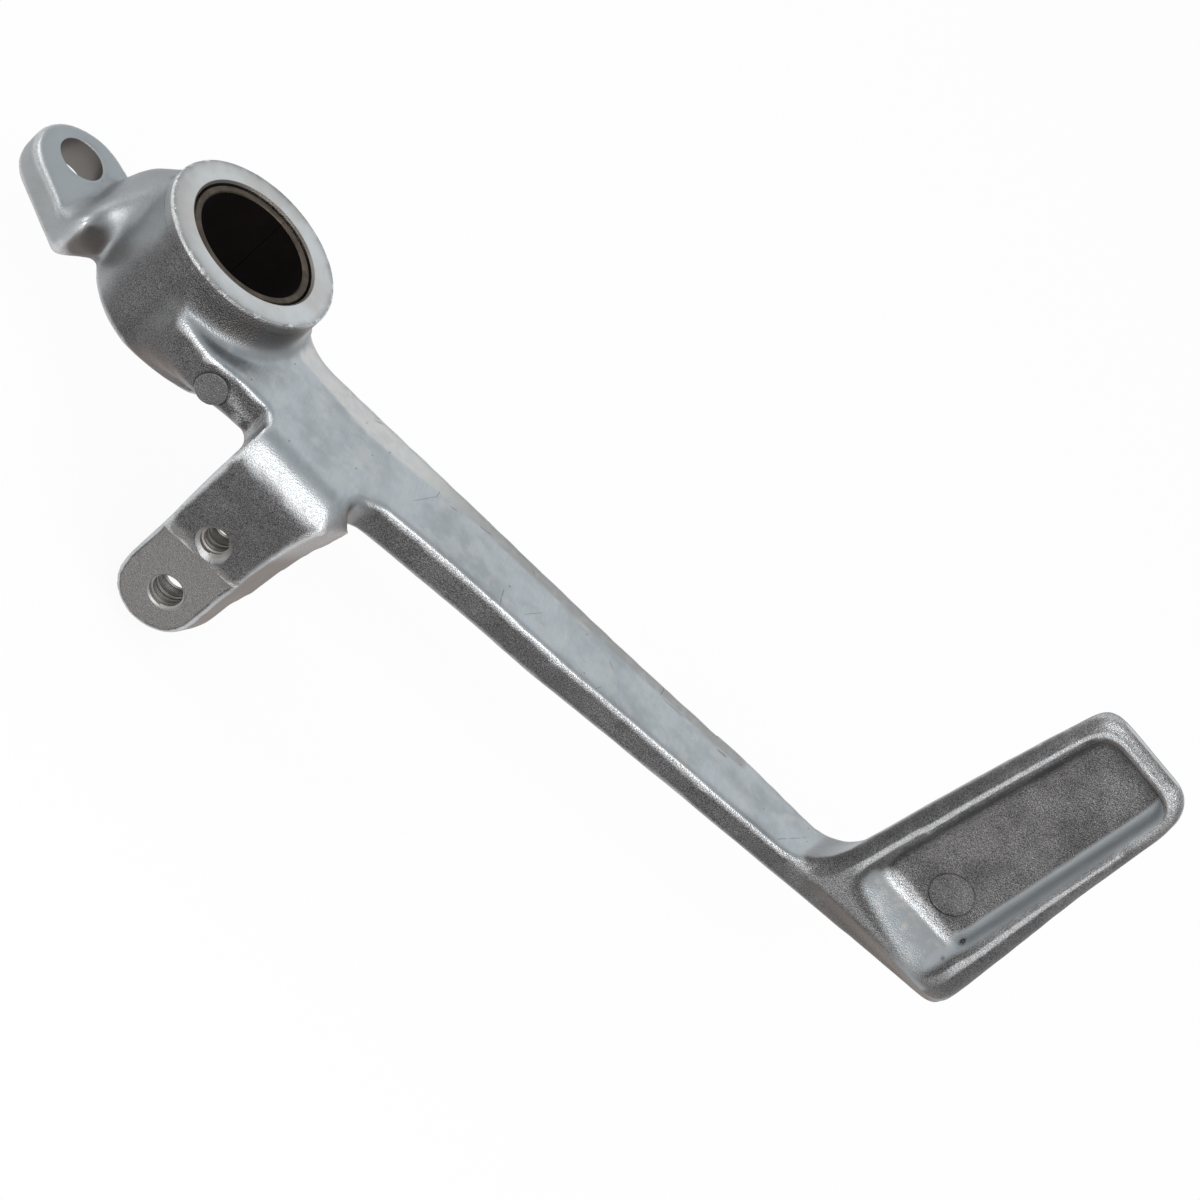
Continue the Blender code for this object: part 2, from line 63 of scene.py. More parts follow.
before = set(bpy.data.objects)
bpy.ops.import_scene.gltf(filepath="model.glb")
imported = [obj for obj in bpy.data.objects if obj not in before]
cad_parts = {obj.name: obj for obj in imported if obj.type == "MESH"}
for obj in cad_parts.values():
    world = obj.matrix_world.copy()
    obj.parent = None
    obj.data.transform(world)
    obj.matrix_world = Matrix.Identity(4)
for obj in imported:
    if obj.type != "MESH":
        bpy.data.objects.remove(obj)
CAD_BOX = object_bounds()

MM = 0.001
IMAGE_SIZE = 1200
# Assumed: the photograph doesn't settle it
FOCAL_PIXELS = 3500.0

# Places shared with the CAD, in millimetres
BOSS_TOP = 21.5
BOSS_RADIUS = 16.0
ARM_TOP = 14.5
TAB_TURN = math.radians(-11.0)
TAB_FACE = 27.2
BEND_START = 19.7
BEND_RADIUS = 7.5
TRAY_TURN = math.radians(-16.0)
TRAY_CORNER = (137.5, -25.0)
TRAY_FLOOR = 4.2
# The bracket's holes, as the place along its face and the height
HOLE_LOW = (30.6, -19.0)
HOLE_HIGH = (29.6, -5.1)
# The lug's hole, as x, y and radius
LUG_HOLE = (-27.0, 8.7, 4.1)

# Places of what only the surface shows, in millimetres
FACING_DEPTH = 0.36
THREAD_START = 6.9
THREAD_LENGTH = 6.2
# The ejector-pin marks: a point of the root, and the place across the tray's floor and its height
ROOT_MARK = (7.6, -21.9, 10.2)
ROOT_MARK_RADIUS = 2.75
TRAY_MARK = (15.2, 30.4)
TRAY_MARK_RADIUS = 3.9
# Heights between which the skin of the arm's outboard face lies
ARM_FACE = (12.6, 15.2)
# Where the facet along the arm's rear edge begins, as x and y
FACET_LINE = ((12.0, -4.6), (18.0, -6.6), (33.0, -10.4), (56.0, -9.9), (86.0, -12.5), (112.0, -14.2))
# Middle of a place where the casting's faces flow into each other, its reach, and rounds of smoothing
SOFT_SPOTS = (
    ((1.0, -17.0, 5.0), 8.5, 60),
    ((10.0, -20.0, 7.5), 5.0, 40),
    ((-17.0, 2.5, 12.0), 7.5, 30),
    ((37.0, -28.3, 12.2), 5.5, 70),
    ((-20.0, -4.5, 9.0), 7.5, 70),
)
# Rounds of extra smoothing on the tray's rim
RIM_ROUNDS = 24

WELD_DISTANCE = 0.002 * MM
SHARP_ANGLE = math.radians(32.0)


def length(name, description, default, **limits):
    return FloatProperty(
        name=name,
        description=description,
        default=default,
        subtype="DISTANCE",
        unit="LENGTH",
        precision=5,
        **limits,
    )


def angle(name, description, degrees):
    return FloatProperty(
        name=name,
        description=description,
        default=math.radians(degrees),
        subtype="ANGLE",
        unit="ROTATION",
    )


def finish_colour(name, description, colour):
    return FloatVectorProperty(
        name=name, description=description, default=colour, subtype="COLOR", min=0.0, max=1.0
    )


class CastingSettings(bpy.types.PropertyGroup):
    voxel: length("Voxel", "Grid size of the remeshed casting", 0.54 * MM, min=0.3 * MM)
    smoothing: IntProperty(
        name="Smoothing",
        description="Rounds of smoothing that give the cast edges their radius",
        default=7,
        min=0,
        max=40,
    )
    waviness: length("Waviness", "Height of the slow unevenness of the cast skin", 0.05 * MM)
    facet_slope: angle("Facet slope", "Tilt of the facet along the arm's rear edge", 3.2)


class MachiningSettings(bpy.types.PropertyGroup):
    ring_radius: length("Boss radius", "Outside radius of the boss's machined end", BOSS_RADIUS * MM)
    ring_edge: length("Ring edge", "Chamfer at the outside of the machined ring", 0.45 * MM)
    bore_radius: length("Bore radius", "Radius of the bore that holds the bush", 11.6 * MM)
    screw_radius: length("Large hole radius", "Root radius of the bracket's larger hole", 3.05 * MM)
    small_radius: length("Small hole radius", "Root radius of the bracket's smaller hole", 2.6 * MM)
    screw_pitch: length("Screw pitch", "Pitch of both threads", 1.0 * MM)
    pin_mark_depth: length("Pin mark depth", "Depth of the ejector-pin marks' outlines", 0.13 * MM)


class BushSettings(bpy.types.PropertyGroup):
    outer_radius: length("Outer radius", "Outside radius of the bush", 11.3 * MM)
    inner_radius: length("Inner radius", "Bore radius of the bush", 10.0 * MM)
    split: length("Split", "Width of the gap where the rolled bush closes", 0.09 * MM)
    split_angle: angle("Split angle", "Place of the gap round the pivot axis", 73.0)


class FinishSettings(bpy.types.PropertyGroup):
    # The sandy colours darken the faces looking along -Y and the smooth colour lightens the rest: partly
    # real skin, partly painted shade
    sand_colour: finish_colour("Sandy skin", "The blasted cast skin", (0.155, 0.151, 0.151))
    sand_dark: finish_colour("Sandy pores", "The blasted skin's dark grains", (0.055, 0.053, 0.053))
    smooth_colour: finish_colour("Smooth skin", "The smooth cast skin", (0.38, 0.398, 0.408))
    ground_colour: finish_colour("Ground faces", "The brushed faces", (0.43, 0.47, 0.495))
    ring_colour: finish_colour("Turned ring", "The boss's machined ring", (0.54, 0.565, 0.575))
    worn_colour: finish_colour("Worn strip", "The facet along the arm's rear edge", (0.6, 0.6, 0.585))
    # Painted shade with a brownish painted reflection, for the faces that look down
    underside_shade_colour: finish_colour("Underside_shade", "The undersides", (0.2, 0.17, 0.15))
    # The bright colour of the rubbed edges, which are partly painted highlights, and of the painted
    # highlights on the bend and the tray
    bright_colour: finish_colour("Rubbed edges", "Edges rubbed bright", (0.72, 0.73, 0.74))
    bronze_colour: finish_colour("Bronze", "The bush's rim", (0.085, 0.068, 0.054))
    # The lining's own dark colour, taken down to near black as painted shade inside the bore
    lining_colour: finish_colour("Lining", "The lining inside the bush", (0.002, 0.0008, 0.0006))


class StageSettings(bpy.types.PropertyGroup):
    floor_drop: length("Floor drop", "Room between the pedal's lowest point and the floor", 2.0 * MM)
    key_power: FloatProperty(
        name="Key light",
        description="Power of the large soft light above the foot side",
        default=7.0,
        min=0.0,
        subtype="POWER",
        unit="POWER",
    )
    backdrop_share: FloatProperty(
        name="Backdrop white",
        description="How far the floor shows as plain white instead of as lit paper",
        default=0.92,
        min=0.0,
        max=1.0,
    )
    sky: FloatProperty(
        name="Sky",
        description="Strength of the even light all round",
        default=0.6,
        min=0.0,
    )


class Value:
    """A shader value: Python's operators on it add Math nodes."""

    def __init__(self, shader, socket):
        self.shader = shader
        self.socket = socket

    def maths(self, operation, *others):
        ends = [o.socket if isinstance(o, Value) else o for o in others]
        return self.shader.maths(operation, self.socket, *ends)

    def __add__(self, other):
        return self.maths("ADD", other)

    def __sub__(self, other):
        return self.maths("SUBTRACT", other)

    def __mul__(self, other):
        return self.maths("MULTIPLY", other)

    def __rsub__(self, other):
        return self.shader.maths("SUBTRACT", other, self.socket)

    def __pow__(self, other):
        return self.maths("POWER", other)

    __radd__ = __add__
    __rmul__ = __mul__

    def at_least(self, other):
        return self.maths("MAXIMUM", other)

    def at_most(self, other):
        return self.maths("MINIMUM", other)

    def rise(self, low, high):
        """0 below low, 1 above high and a smooth step between."""
        node = self.shader.node(
            "ShaderNodeMapRange",
            {"interpolation_type": "SMOOTHSTEP"},
            {"Value": self, "From Min": low, "From Max": high},
        )
        return Value(self.shader, node.outputs["Result"])

    def fall(self, low, high):
        """1 below low, 0 above high and a smooth step between."""
        return 1 - self.rise(low, high)

    def band(self, start, full, last, end):
        """0 outside start and end, and 1 from full to last."""
        return self.rise(start, full) * self.fall(last, end)


class Shader:
    """A material's node tree, built from Python expressions, with places and grains in millimetres."""

    def __init__(self, name):
        self.material = bpy.data.materials.new(name)
        self.material.use_nodes = True
        self.tree = self.material.node_tree
        self.surface = self.tree.nodes["Principled BSDF"]
        coordinates = self.node("ShaderNodeTexCoord").outputs
        self.place = self.scaled(coordinates["Object"], (1 / MM, 1 / MM, 1 / MM))
        self.normal = coordinates["Normal"]
        self.x, self.y, self.z = self.split(self.place)

    def node(self, kind, settings=None, inputs=None):
        made = self.tree.nodes.new(kind)
        for key, value in (settings or {}).items():
            setattr(made, key, value)
        for key, value in (inputs or {}).items():
            self.feed(made.inputs[key], value)
        return made

    def feed(self, socket, value):
        if isinstance(value, Value):
            value = value.socket
        if isinstance(value, bpy.types.NodeSocket):
            self.tree.links.new(value, socket)
        else:
            socket.default_value = value

    def maths(self, operation, *ends):
        made = self.node("ShaderNodeMath", {"operation": operation}, dict(enumerate(ends)))
        return Value(self, made.outputs[0])

    def split(self, vector):
        made = self.node("ShaderNodeSeparateXYZ", None, {0: vector})
        return [Value(self, end) for end in made.outputs]

    def along(self, vector, direction):
        """How far a vector reaches along a direction."""
        made = self.node("ShaderNodeVectorMath", {"operation": "DOT_PRODUCT"}, {0: vector, 1: direction})
        return Value(self, made.outputs["Value"])

    def scaled(self, vector, size):
        made = self.node("ShaderNodeVectorMath", {"operation": "MULTIPLY"}, {0: vector, 1: size})
        return made.outputs[0]

    def rotated(self, vector, angles):
        made = self.node("ShaderNodeMapping", None, {"Vector": vector, "Rotation": angles})
        return made.outputs[0]

    def noise(self, grain, detail=2.0, rough=0.5, vector=None, distortion=0.0):
        """Noise whose lumps are about grain millimetres wide."""
        made = self.node(
            "ShaderNodeTexNoise",
            None,
            {
                "Vector": vector or self.place,
                "Scale": 1.0 / grain,
                "Detail": detail,
                "Roughness": rough,
                "Distortion": distortion,
            },
        )
        return Value(self, made.outputs["Fac"])

    def cells(self, grain, feature="F1", vector=None):
        made = self.node(
            "ShaderNodeTexVoronoi",
            {"feature": feature},
            {"Vector": vector or self.place, "Scale": 1.0 / grain},
        )
        return Value(self, made.outputs["Distance"])

    def near(self, spot, low, high):
        """1 within low millimetres of a spot, fading to 0 at high."""
        away = self.node("ShaderNodeVectorMath", {"operation": "DISTANCE"}, {0: self.place, 1: spot})
        return Value(self, away.outputs["Value"]).fall(low, high)

    def blend(self, share, low, high):
        """The colour low where share is 0 and high where it is 1."""
        made = self.node("ShaderNodeMix", {"data_type": "RGBA", "clamp_factor": True})
        self.feed(made.inputs["Factor"], share)
        for name, colour in (("A", low), ("B", high)):
            end = next(s for s in made.inputs if s.name == name and s.type == "RGBA")
            self.feed(end, (*colour, 1.0) if isinstance(colour, (tuple, list)) else colour)
        return next(s for s in made.outputs if s.type == "RGBA")

    def between(self, share, low, high):
        """The number low where share is 0 and high where it is 1."""
        return share * (high - low) + low

    def attribute(self, name):
        made = self.node("ShaderNodeAttribute", {"attribute_name": name})
        return Value(self, made.outputs["Fac"])

    def bump(self, height, distance, strength=1.0, below=None):
        inputs = {"Height": height, "Distance": distance * MM, "Strength": strength}
        if below is not None:
            inputs["Normal"] = below
        return self.node("ShaderNodeBump", None, inputs).outputs["Normal"]

    def finish(self, colour, roughness, metallic, normal):
        for name, value in (
            ("Base Color", colour),
            ("Roughness", roughness),
            ("Metallic", metallic),
            ("Normal", normal),
        ):
            self.feed(self.surface.inputs[name], value)
        return self.material


def tab_point(u, n, z):
    """A point of the bracket, in metres: along its face, out from the pivot, and its height."""
    c, s = math.cos(TAB_TURN), math.sin(TAB_TURN)
    return Vector((c * u + s * n, s * u - c * n, z)) * MM


def tray_point(e, d, z):
    """A point of the tray, in metres: across the rim, depth behind the rim, and its height."""
    c, s = math.cos(TRAY_TURN), math.sin(TRAY_TURN)
    return Vector((TRAY_CORNER[0] + c * e - s * d, TRAY_CORNER[1] + s * e + c * d, z)) * MM


TAB_OUT = tab_point(0, 1, 0).normalized()
TAB_ACROSS = (tab_point(1, 0, 0) - tab_point(0, 0, 0)).normalized()
TRAY_ORIGIN = tray_point(0, 0, 0)
TRAY_ACROSS = (tray_point(1, 0, 0) - TRAY_ORIGIN).normalized()
TRAY_INWARD = (tray_point(0, 1, 0) - TRAY_ORIGIN).normalized()


def add_object(name, mesh):
    made = bpy.data.objects.new(name, mesh)
    bpy.context.scene.collection.objects.link(made)
    return made


def remove(obj):
    bpy.data.objects.remove(obj, do_unlink=True)


def bake_modifiers(obj):
    """Turns what the modifiers make into the object's own mesh."""
    bpy.context.view_layer.update()
    graph = bpy.context.evaluated_depsgraph_get()
    mesh = bpy.data.meshes.new_from_object(obj.evaluated_get(graph))
    obj.modifiers.clear()
    obj.data = mesh


def mesh_from(name, bm):
    bmesh.ops.recalc_face_normals(bm, faces=bm.faces)
    mesh = bpy.data.meshes.new(name)
    bm.to_mesh(mesh)
    bm.free()
    return add_object(name, mesh)


def turned(name, profile, steps=128, matrix=None):
    """A solid of revolution about Z from a closed profile of (radius, height) in metres."""
    bm = bmesh.new()
    verts = [bm.verts.new((r, 0.0, z)) for r, z in profile]
    ends = verts if profile[0][0] == 0 else verts + verts[:1]
    for a, b in zip(ends, ends[1:]):
        bm.edges.new((a, b))
    bmesh.ops.spin(
        bm,
        geom=bm.verts[:] + bm.edges[:],
        cent=(0, 0, 0),
        axis=(0, 0, 1),
        angle=2 * math.pi,
        steps=steps,
        use_merge=True,
    )
    bmesh.ops.remove_doubles(bm, verts=bm.verts, dist=WELD_DISTANCE)
    if matrix is not None:
        bmesh.ops.transform(bm, matrix=matrix, verts=bm.verts)
    return mesh_from(name, bm)


def block(name, corners, shift):
    """A solid from four corners and the same four moved by shift."""
    bm = bmesh.new()
    low = [bm.verts.new(c) for c in corners]
    high = [bm.verts.new(Vector(c) + shift) for c in corners]
    bm.faces.new(low)
    bm.faces.new(high)
    for i in range(4):
        j = (i + 1) % 4
        bm.faces.new((low[i], low[j], high[j], high[i]))
    return mesh_from(name, bm)


def combine(target, tool, operation):
    """Cuts or joins a tool solid and removes it."""
    made = target.modifiers.new(tool.name, "BOOLEAN")
    made.operation = operation
    made.solver = "MANIFOLD"
    made.object = tool
    bake_modifiers(target)
    remove(tool)


def facing(spot, direction):
    """A matrix at spot whose Z points along direction."""
    turn = direction.normalized().to_track_quat("Z", "Y").to_matrix().to_4x4()
    return Matrix.Translation(spot) @ turn


def positions(mesh):
    co = np.zeros(len(mesh.vertices) * 3, np.float32)
    mesh.vertices.foreach_get("co", co)
    return co.reshape(-1, 3).astype(float)


def set_positions(mesh, co):
    mesh.vertices.foreach_set("co", co.astype(np.float32).ravel())
    mesh.update()


def vertex_normals(mesh):
    out = np.zeros(len(mesh.vertices) * 3, np.float32)
    mesh.vertex_normals.foreach_get("vector", out)
    return out.reshape(-1, 3).astype(float)


def edge_ends(mesh):
    out = np.zeros(len(mesh.edges) * 2, np.int32)
    mesh.edges.foreach_get("vertices", out)
    return out.reshape(-1, 2)


def neighbour_mean(values, ends, count):
    """The mean of each vertex's neighbours."""
    if values.ndim == 1:
        values = values[:, None]
    total = np.zeros((count, values.shape[1]))
    for k in range(values.shape[1]):
        total[:, k] += np.bincount(ends[:, 0], values[ends[:, 1], k], count)
        total[:, k] += np.bincount(ends[:, 1], values[ends[:, 0], k], count)
    share = np.bincount(ends.ravel(), minlength=count).clip(1)[:, None]
    return total / share


def relax(co, ends, rounds, share=1.0):
    """Moves each vertex its share of half the way to its neighbours' mean, in rounds."""
    for _ in range(rounds):
        co += 0.5 * share * (neighbour_mean(co, ends, len(co)) - co)


def smooth_skin(mesh, rounds):
    """Rounds every edge as a cast surface is rounded, more at the soft spots and the tray's rim."""
    co = positions(mesh)
    ends = edge_ends(mesh)
    relax(co, ends, rounds)
    for middle, reach, more in SOFT_SPOTS:
        away = np.linalg.norm(co / MM - np.array(middle), axis=1)
        relax(co, ends, more, np.clip(1.6 - 1.6 * away / reach, 0, 1)[:, None])
    depth = (co - np.array(TRAY_ORIGIN)) @ np.array(TRAY_INWARD) / MM
    share = np.clip(2.4 - depth, 0, 1) * np.clip(co[:, 2] / MM / 2 - 7, 0, 1) * (co[:, 0] > 125 * MM)
    relax(co, ends, RIM_ROUNDS, share[:, None])
    set_positions(mesh, co)


def shape_faces(mesh, settings):
    """Tilts the rear facet, fills the bend's upper edge, trues the boss and makes the skin uneven."""
    co = positions(mesh) / MM
    x, y, z = co.T
    line_x, line_y = np.array(FACET_LINE).T
    beyond = y - np.interp(x, line_x, line_y)
    radius = np.hypot(x, y)
    on_top = (z > ARM_FACE[0]) & (z < ARM_FACE[1]) & (x > 14.0) & (x < 112.0) & (beyond > 0)
    on_top &= radius > BOSS_RADIUS + 0.4
    co[on_top, 2] -= beyond[on_top] * math.tan(settings.facet_slope)

    c, s = math.cos(TAB_TURN), math.sin(TAB_TURN)
    along, out = c * x + s * y, s * x - c * y
    past = np.clip(out - BEND_START, 0, BEND_RADIUS)
    sunk = ARM_TOP - BEND_RADIUS + np.sqrt(BEND_RADIUS**2 - past**2) - z
    share = np.clip((along - 21.5) / 1.5, 0, 1) * np.clip((38.0 - along) / 1.5, 0, 1)
    share *= np.clip((out - 17.0) / 1.5, 0, 1) * np.clip((24.5 - out) / 2.0, 0, 1)
    share[(sunk < 0) | (sunk > 1.2)] = 0.0
    co[:, 2] += sunk * share

    side = (np.abs(radius - BOSS_RADIUS) < 0.35) & (z > 18.2)
    for axis in (0, 1):
        co[side, axis] *= BOSS_RADIUS / radius[side]

    normal = vertex_normals(mesh)
    height = settings.waviness / MM
    flat = (np.abs(normal[:, 2]) > 0.95) & (z > 13.0) & (z < 15.0)
    for i, (here, out) in enumerate(zip(co, normal)):
        share = 0.3 if flat[i] else 1.0
        lump = noise.noise(Vector(here) / 5.0) + 0.5 * noise.noise(Vector(here) / 2.1)
        co[i] += out * (lump * height * share)
    set_positions(mesh, co * MM)


def surface_spot(tree, start, direction):
    """Where a ray meets the casting."""
    spot = tree.ray_cast(start, direction)[0]
    if spot is None:
        raise RuntimeError("a ray for a mark on the casting meets nothing")
    return spot


def thread_tree():
    """A geometry tree that winds a ridge into a screw thread."""
    tree = bpy.data.node_groups.new("Screw thread", "GeometryNodeTree")
    for name, kind in (
        ("Crest radius", "NodeSocketFloat"),
        ("Pitch", "NodeSocketFloat"),
        ("Turns", "NodeSocketFloat"),
        ("Ridge", "NodeSocketFloat"),
        ("Material", "NodeSocketMaterial"),
    ):
        tree.interface.new_socket(name, in_out="INPUT", socket_type=kind)
    tree.interface.new_socket("Geometry", in_out="OUTPUT", socket_type="NodeSocketGeometry")

    def node(kind, **links):
        made = tree.nodes.new(kind)
        for name, value in links.items():
            end = made.inputs[name.replace("_", " ")]
            if isinstance(value, bpy.types.NodeSocket):
                tree.links.new(value, end)
            else:
                end.default_value = value
        return made

    given = tree.nodes.new("NodeGroupInput").outputs
    height = node("ShaderNodeMath")
    height.operation = "MULTIPLY"
    tree.links.new(given["Pitch"], height.inputs[0])
    tree.links.new(given["Turns"], height.inputs[1])
    spiral = node(
        "GeometryNodeCurveSpiral",
        Resolution=40,
        Rotations=given["Turns"],
        Start_Radius=given["Crest radius"],
        End_Radius=given["Crest radius"],
        Height=height.outputs[0],
    )
    profile = node("GeometryNodeCurvePrimitiveCircle", Resolution=3, Radius=given["Ridge"])
    sweep = node("GeometryNodeCurveToMesh", Curve=spiral.outputs[0], Profile_Curve=profile.outputs[0])
    sweep.inputs["Fill Caps"].default_value = True
    real = node("GeometryNodeRealizeInstances", Geometry=sweep.outputs[0])
    painted = node("GeometryNodeSetMaterial", Geometry=real.outputs[0], Material=given["Material"])
    out = tree.nodes.new("NodeGroupOutput")
    tree.links.new(painted.outputs[0], out.inputs["Geometry"])
    return tree


def make_thread(settings, material, spot, radius, depth):
    """A screw thread's ridge, in one of the bracket's holes."""
    holder = add_object("screw_thread", bpy.data.meshes.new("screw_thread"))
    winding = holder.modifiers.new("Thread", "NODES")
    winding.node_group = thread_tree()
    values = {
        "Crest radius": radius,
        "Pitch": settings.screw_pitch,
        "Turns": depth / settings.screw_pitch,
        "Ridge": 0.3 * settings.screw_pitch,
        "Material": material,
    }
    for item in winding.node_group.interface.items_tree:
        if item.in_out == "INPUT":
            winding[item.identifier] = values[item.name]
    bake_modifiers(holder)
    holder.data.transform(facing(spot, TAB_OUT))
    bm = bmesh.new()
    bm.from_mesh(holder.data)
    bmesh.ops.recalc_face_normals(bm, faces=bm.faces)
    bm.to_mesh(holder.data)
    bm.free()
    return holder


def nick_edge(ring, radius, edge):
    """Makes the ring's outer edge a little ragged, as handling leaves it."""
    co = positions(ring.data)
    away = np.hypot(co[:, 0], co[:, 1])
    top = co[:, 2].max()
    for i in np.nonzero((away > radius - edge * 1.5) & (co[:, 2] > top - edge * 1.5))[0]:
        spot = Vector(co[i]) / MM
        wave = Vector((spot.x, spot.y, 0.0))
        nick = noise.noise(wave * 0.35) * 0.6 + noise.noise(wave * 1.1 + Vector((7, 3, 1))) * 0.4
        if co[i, 2] > top - edge * 0.1:
            co[i, :2] *= 1 + nick * 0.011
        else:
            co[i, :2] *= 1 + nick * 0.004
    set_positions(ring.data, co)


def cut_ring(casting, settings):
    """Replaces the softened end of the boss by a sharp turned ring."""
    top = BOSS_TOP * MM
    radius = settings.ring_radius
    edge = settings.ring_edge
    bore = settings.bore_radius
    low = 18.5 * MM
    joint = 19.2 * MM
    wide = radius + 2 * MM
    high = top + 2 * MM
    blunt = turned("blunt_end", [(0.0, high), (wide, high), (wide, joint), (0.0, joint)])
    combine(casting, blunt, "DIFFERENCE")
    sunk = radius - 0.4 * MM
    mouth = 0.35 * MM
    ring = turned(
        "ring",
        [
            (bore, low),
            (sunk, low),
            (sunk, joint - 0.05 * MM),
            (radius, joint + 0.05 * MM),
            (radius, top - edge),
            (radius - edge * 0.3, top - edge * 0.35),
            (radius - edge, top),
            (bore + mouth, top),
            (bore, top - mouth),
        ],
        192,
    )
    nick_edge(ring, radius, edge)
    combine(casting, ring, "UNION")


def cut_lug_hole(casting):
    """Closes the softened hole of the lug and drills it again with sharp mouths."""
    x, y, hole = (size * MM for size in LUG_HOLE)
    spot = Matrix.Translation((x, y, 0.0))
    low, high = 0.3 * MM, 5.93 * MM
    wide = hole + 1.3 * MM
    plug = [(0.0, high), (wide, high), (wide, low), (0.0, low)]
    combine(casting, turned("plug", plug, 64, spot), "UNION")
    flare = hole + 2.2 * MM
    drill = [
        (0.0, 8 * MM),
        (flare, 8 * MM),
        (hole, 5.85 * MM),
        (hole, 0.35 * MM),
        (flare, -2 * MM),
        (0.0, -2 * MM),
    ]
    combine(casting, turned("drill", drill, 96, spot), "DIFFERENCE")


def cut_bracket_face(casting, settings):
    """Mills the bracket's face, and drills its two holes, the upper one with a rubbed mouth."""
    holes = ((HOLE_LOW, settings.screw_radius), (HOLE_HIGH, settings.small_radius))
    for (u, z), hole in holes:
        wide = hole + 1.2 * MM
        plug = [(0.0, 0.3 * MM), (wide, 0.3 * MM), (wide, -6.3 * MM), (0.0, -6.3 * MM)]
        spot = facing(tab_point(u, TAB_FACE - 0.4, z), TAB_OUT)
        combine(casting, turned("plug", plug, 48, spot), "UNION")
    face = TAB_FACE - FACING_DEPTH
    corners = [tab_point(u, face, z) for u, z in ((10, -10.8), (50, -7.4), (50, -33), (10, -33))]
    combine(casting, block("facing", corners, TAB_OUT * 3 * MM), "DIFFERENCE")
    mouth = 0.3 * MM
    for (u, z), hole in holes:
        drill = [
            (0.0, 2 * MM),
            (hole + mouth + 2 * MM, 2 * MM),
            (hole, -mouth),
            (hole, -12 * MM),
            (0.0, -12 * MM),
        ]
        spot = facing(tab_point(u, face, z), TAB_OUT)
        combine(casting, turned("drill", drill, 64, spot), "DIFFERENCE")
    u, z = HOLE_HIGH
    rub = [(0.0, 1 * MM), (4.2 * MM, 1 * MM), (1.8 * MM, -0.7 * MM), (0.0, -0.7 * MM)]
    spot = facing(tab_point(u + 0.45, TAB_FACE - 0.1, z - 0.7), TAB_OUT)
    combine(casting, turned("rubbed_mouth", rub, 64, spot), "DIFFERENCE")


def cut_pin_marks(casting, settings):
    """Outlines the ejector-pin marks on the root and the tray's floor with a shallow groove."""
    tray_aim = tray_point(TRAY_MARK[0], 0.0, TRAY_MARK[1])
    for aim, inward, radius, share in (
        (Vector(ROOT_MARK) * MM, Vector((0.12, 0.98, -0.12)), ROOT_MARK_RADIUS * MM, 1.6),
        (tray_aim, TRAY_INWARD, TRAY_MARK_RADIUS * MM, 0.6),
    ):
        tree = BVHTree.FromObject(casting, bpy.context.evaluated_depsgraph_get())
        spot = surface_spot(tree, aim - inward.normalized() * 20 * MM, inward)
        place = facing(spot, -inward)
        pad = [(0.0, 0.06 * MM), (radius - 0.1 * MM, 0.06 * MM), (radius, -0.1 * MM)]
        pad += [(radius, -1.2 * MM), (0.0, -1.2 * MM)]
        combine(casting, turned("pin_pad", pad, 48, place), "UNION")
        depth = settings.pin_mark_depth * share
        groove = [(radius - 0.08 * MM, MM), (radius + (0.22 + 0.14 * share) * MM, MM)]
        groove += [(radius + 0.14 * MM, -depth), (radius, -depth)]
        combine(casting, turned("pin_groove", groove, 48, place), "DIFFERENCE")


def standing_out(mesh):
    """How far each vertex stands out among its neighbours: above 0 on edges, below 0 in hollows."""
    co = positions(mesh)
    ends = edge_ends(mesh)
    count = len(co)
    normal = vertex_normals(mesh)
    for _ in range(2):
        normal += neighbour_mean(normal, ends, count)
        normal /= np.linalg.norm(normal, axis=1)[:, None].clip(1e-9)
    away = co - neighbour_mean(co, ends, count)
    span = np.linalg.norm(co[ends[:, 0]] - co[ends[:, 1]], axis=1)
    reach = np.bincount(ends[:, 0], span, count) + np.bincount(ends[:, 1], span, count)
    reach /= np.bincount(ends.ravel(), minlength=count).clip(1)
    stand = (away * normal).sum(1) / reach.clip(1e-9)
    for _ in range(3):
        stand = 0.5 * stand + 0.5 * neighbour_mean(stand, ends, count)[:, 0]
    return stand


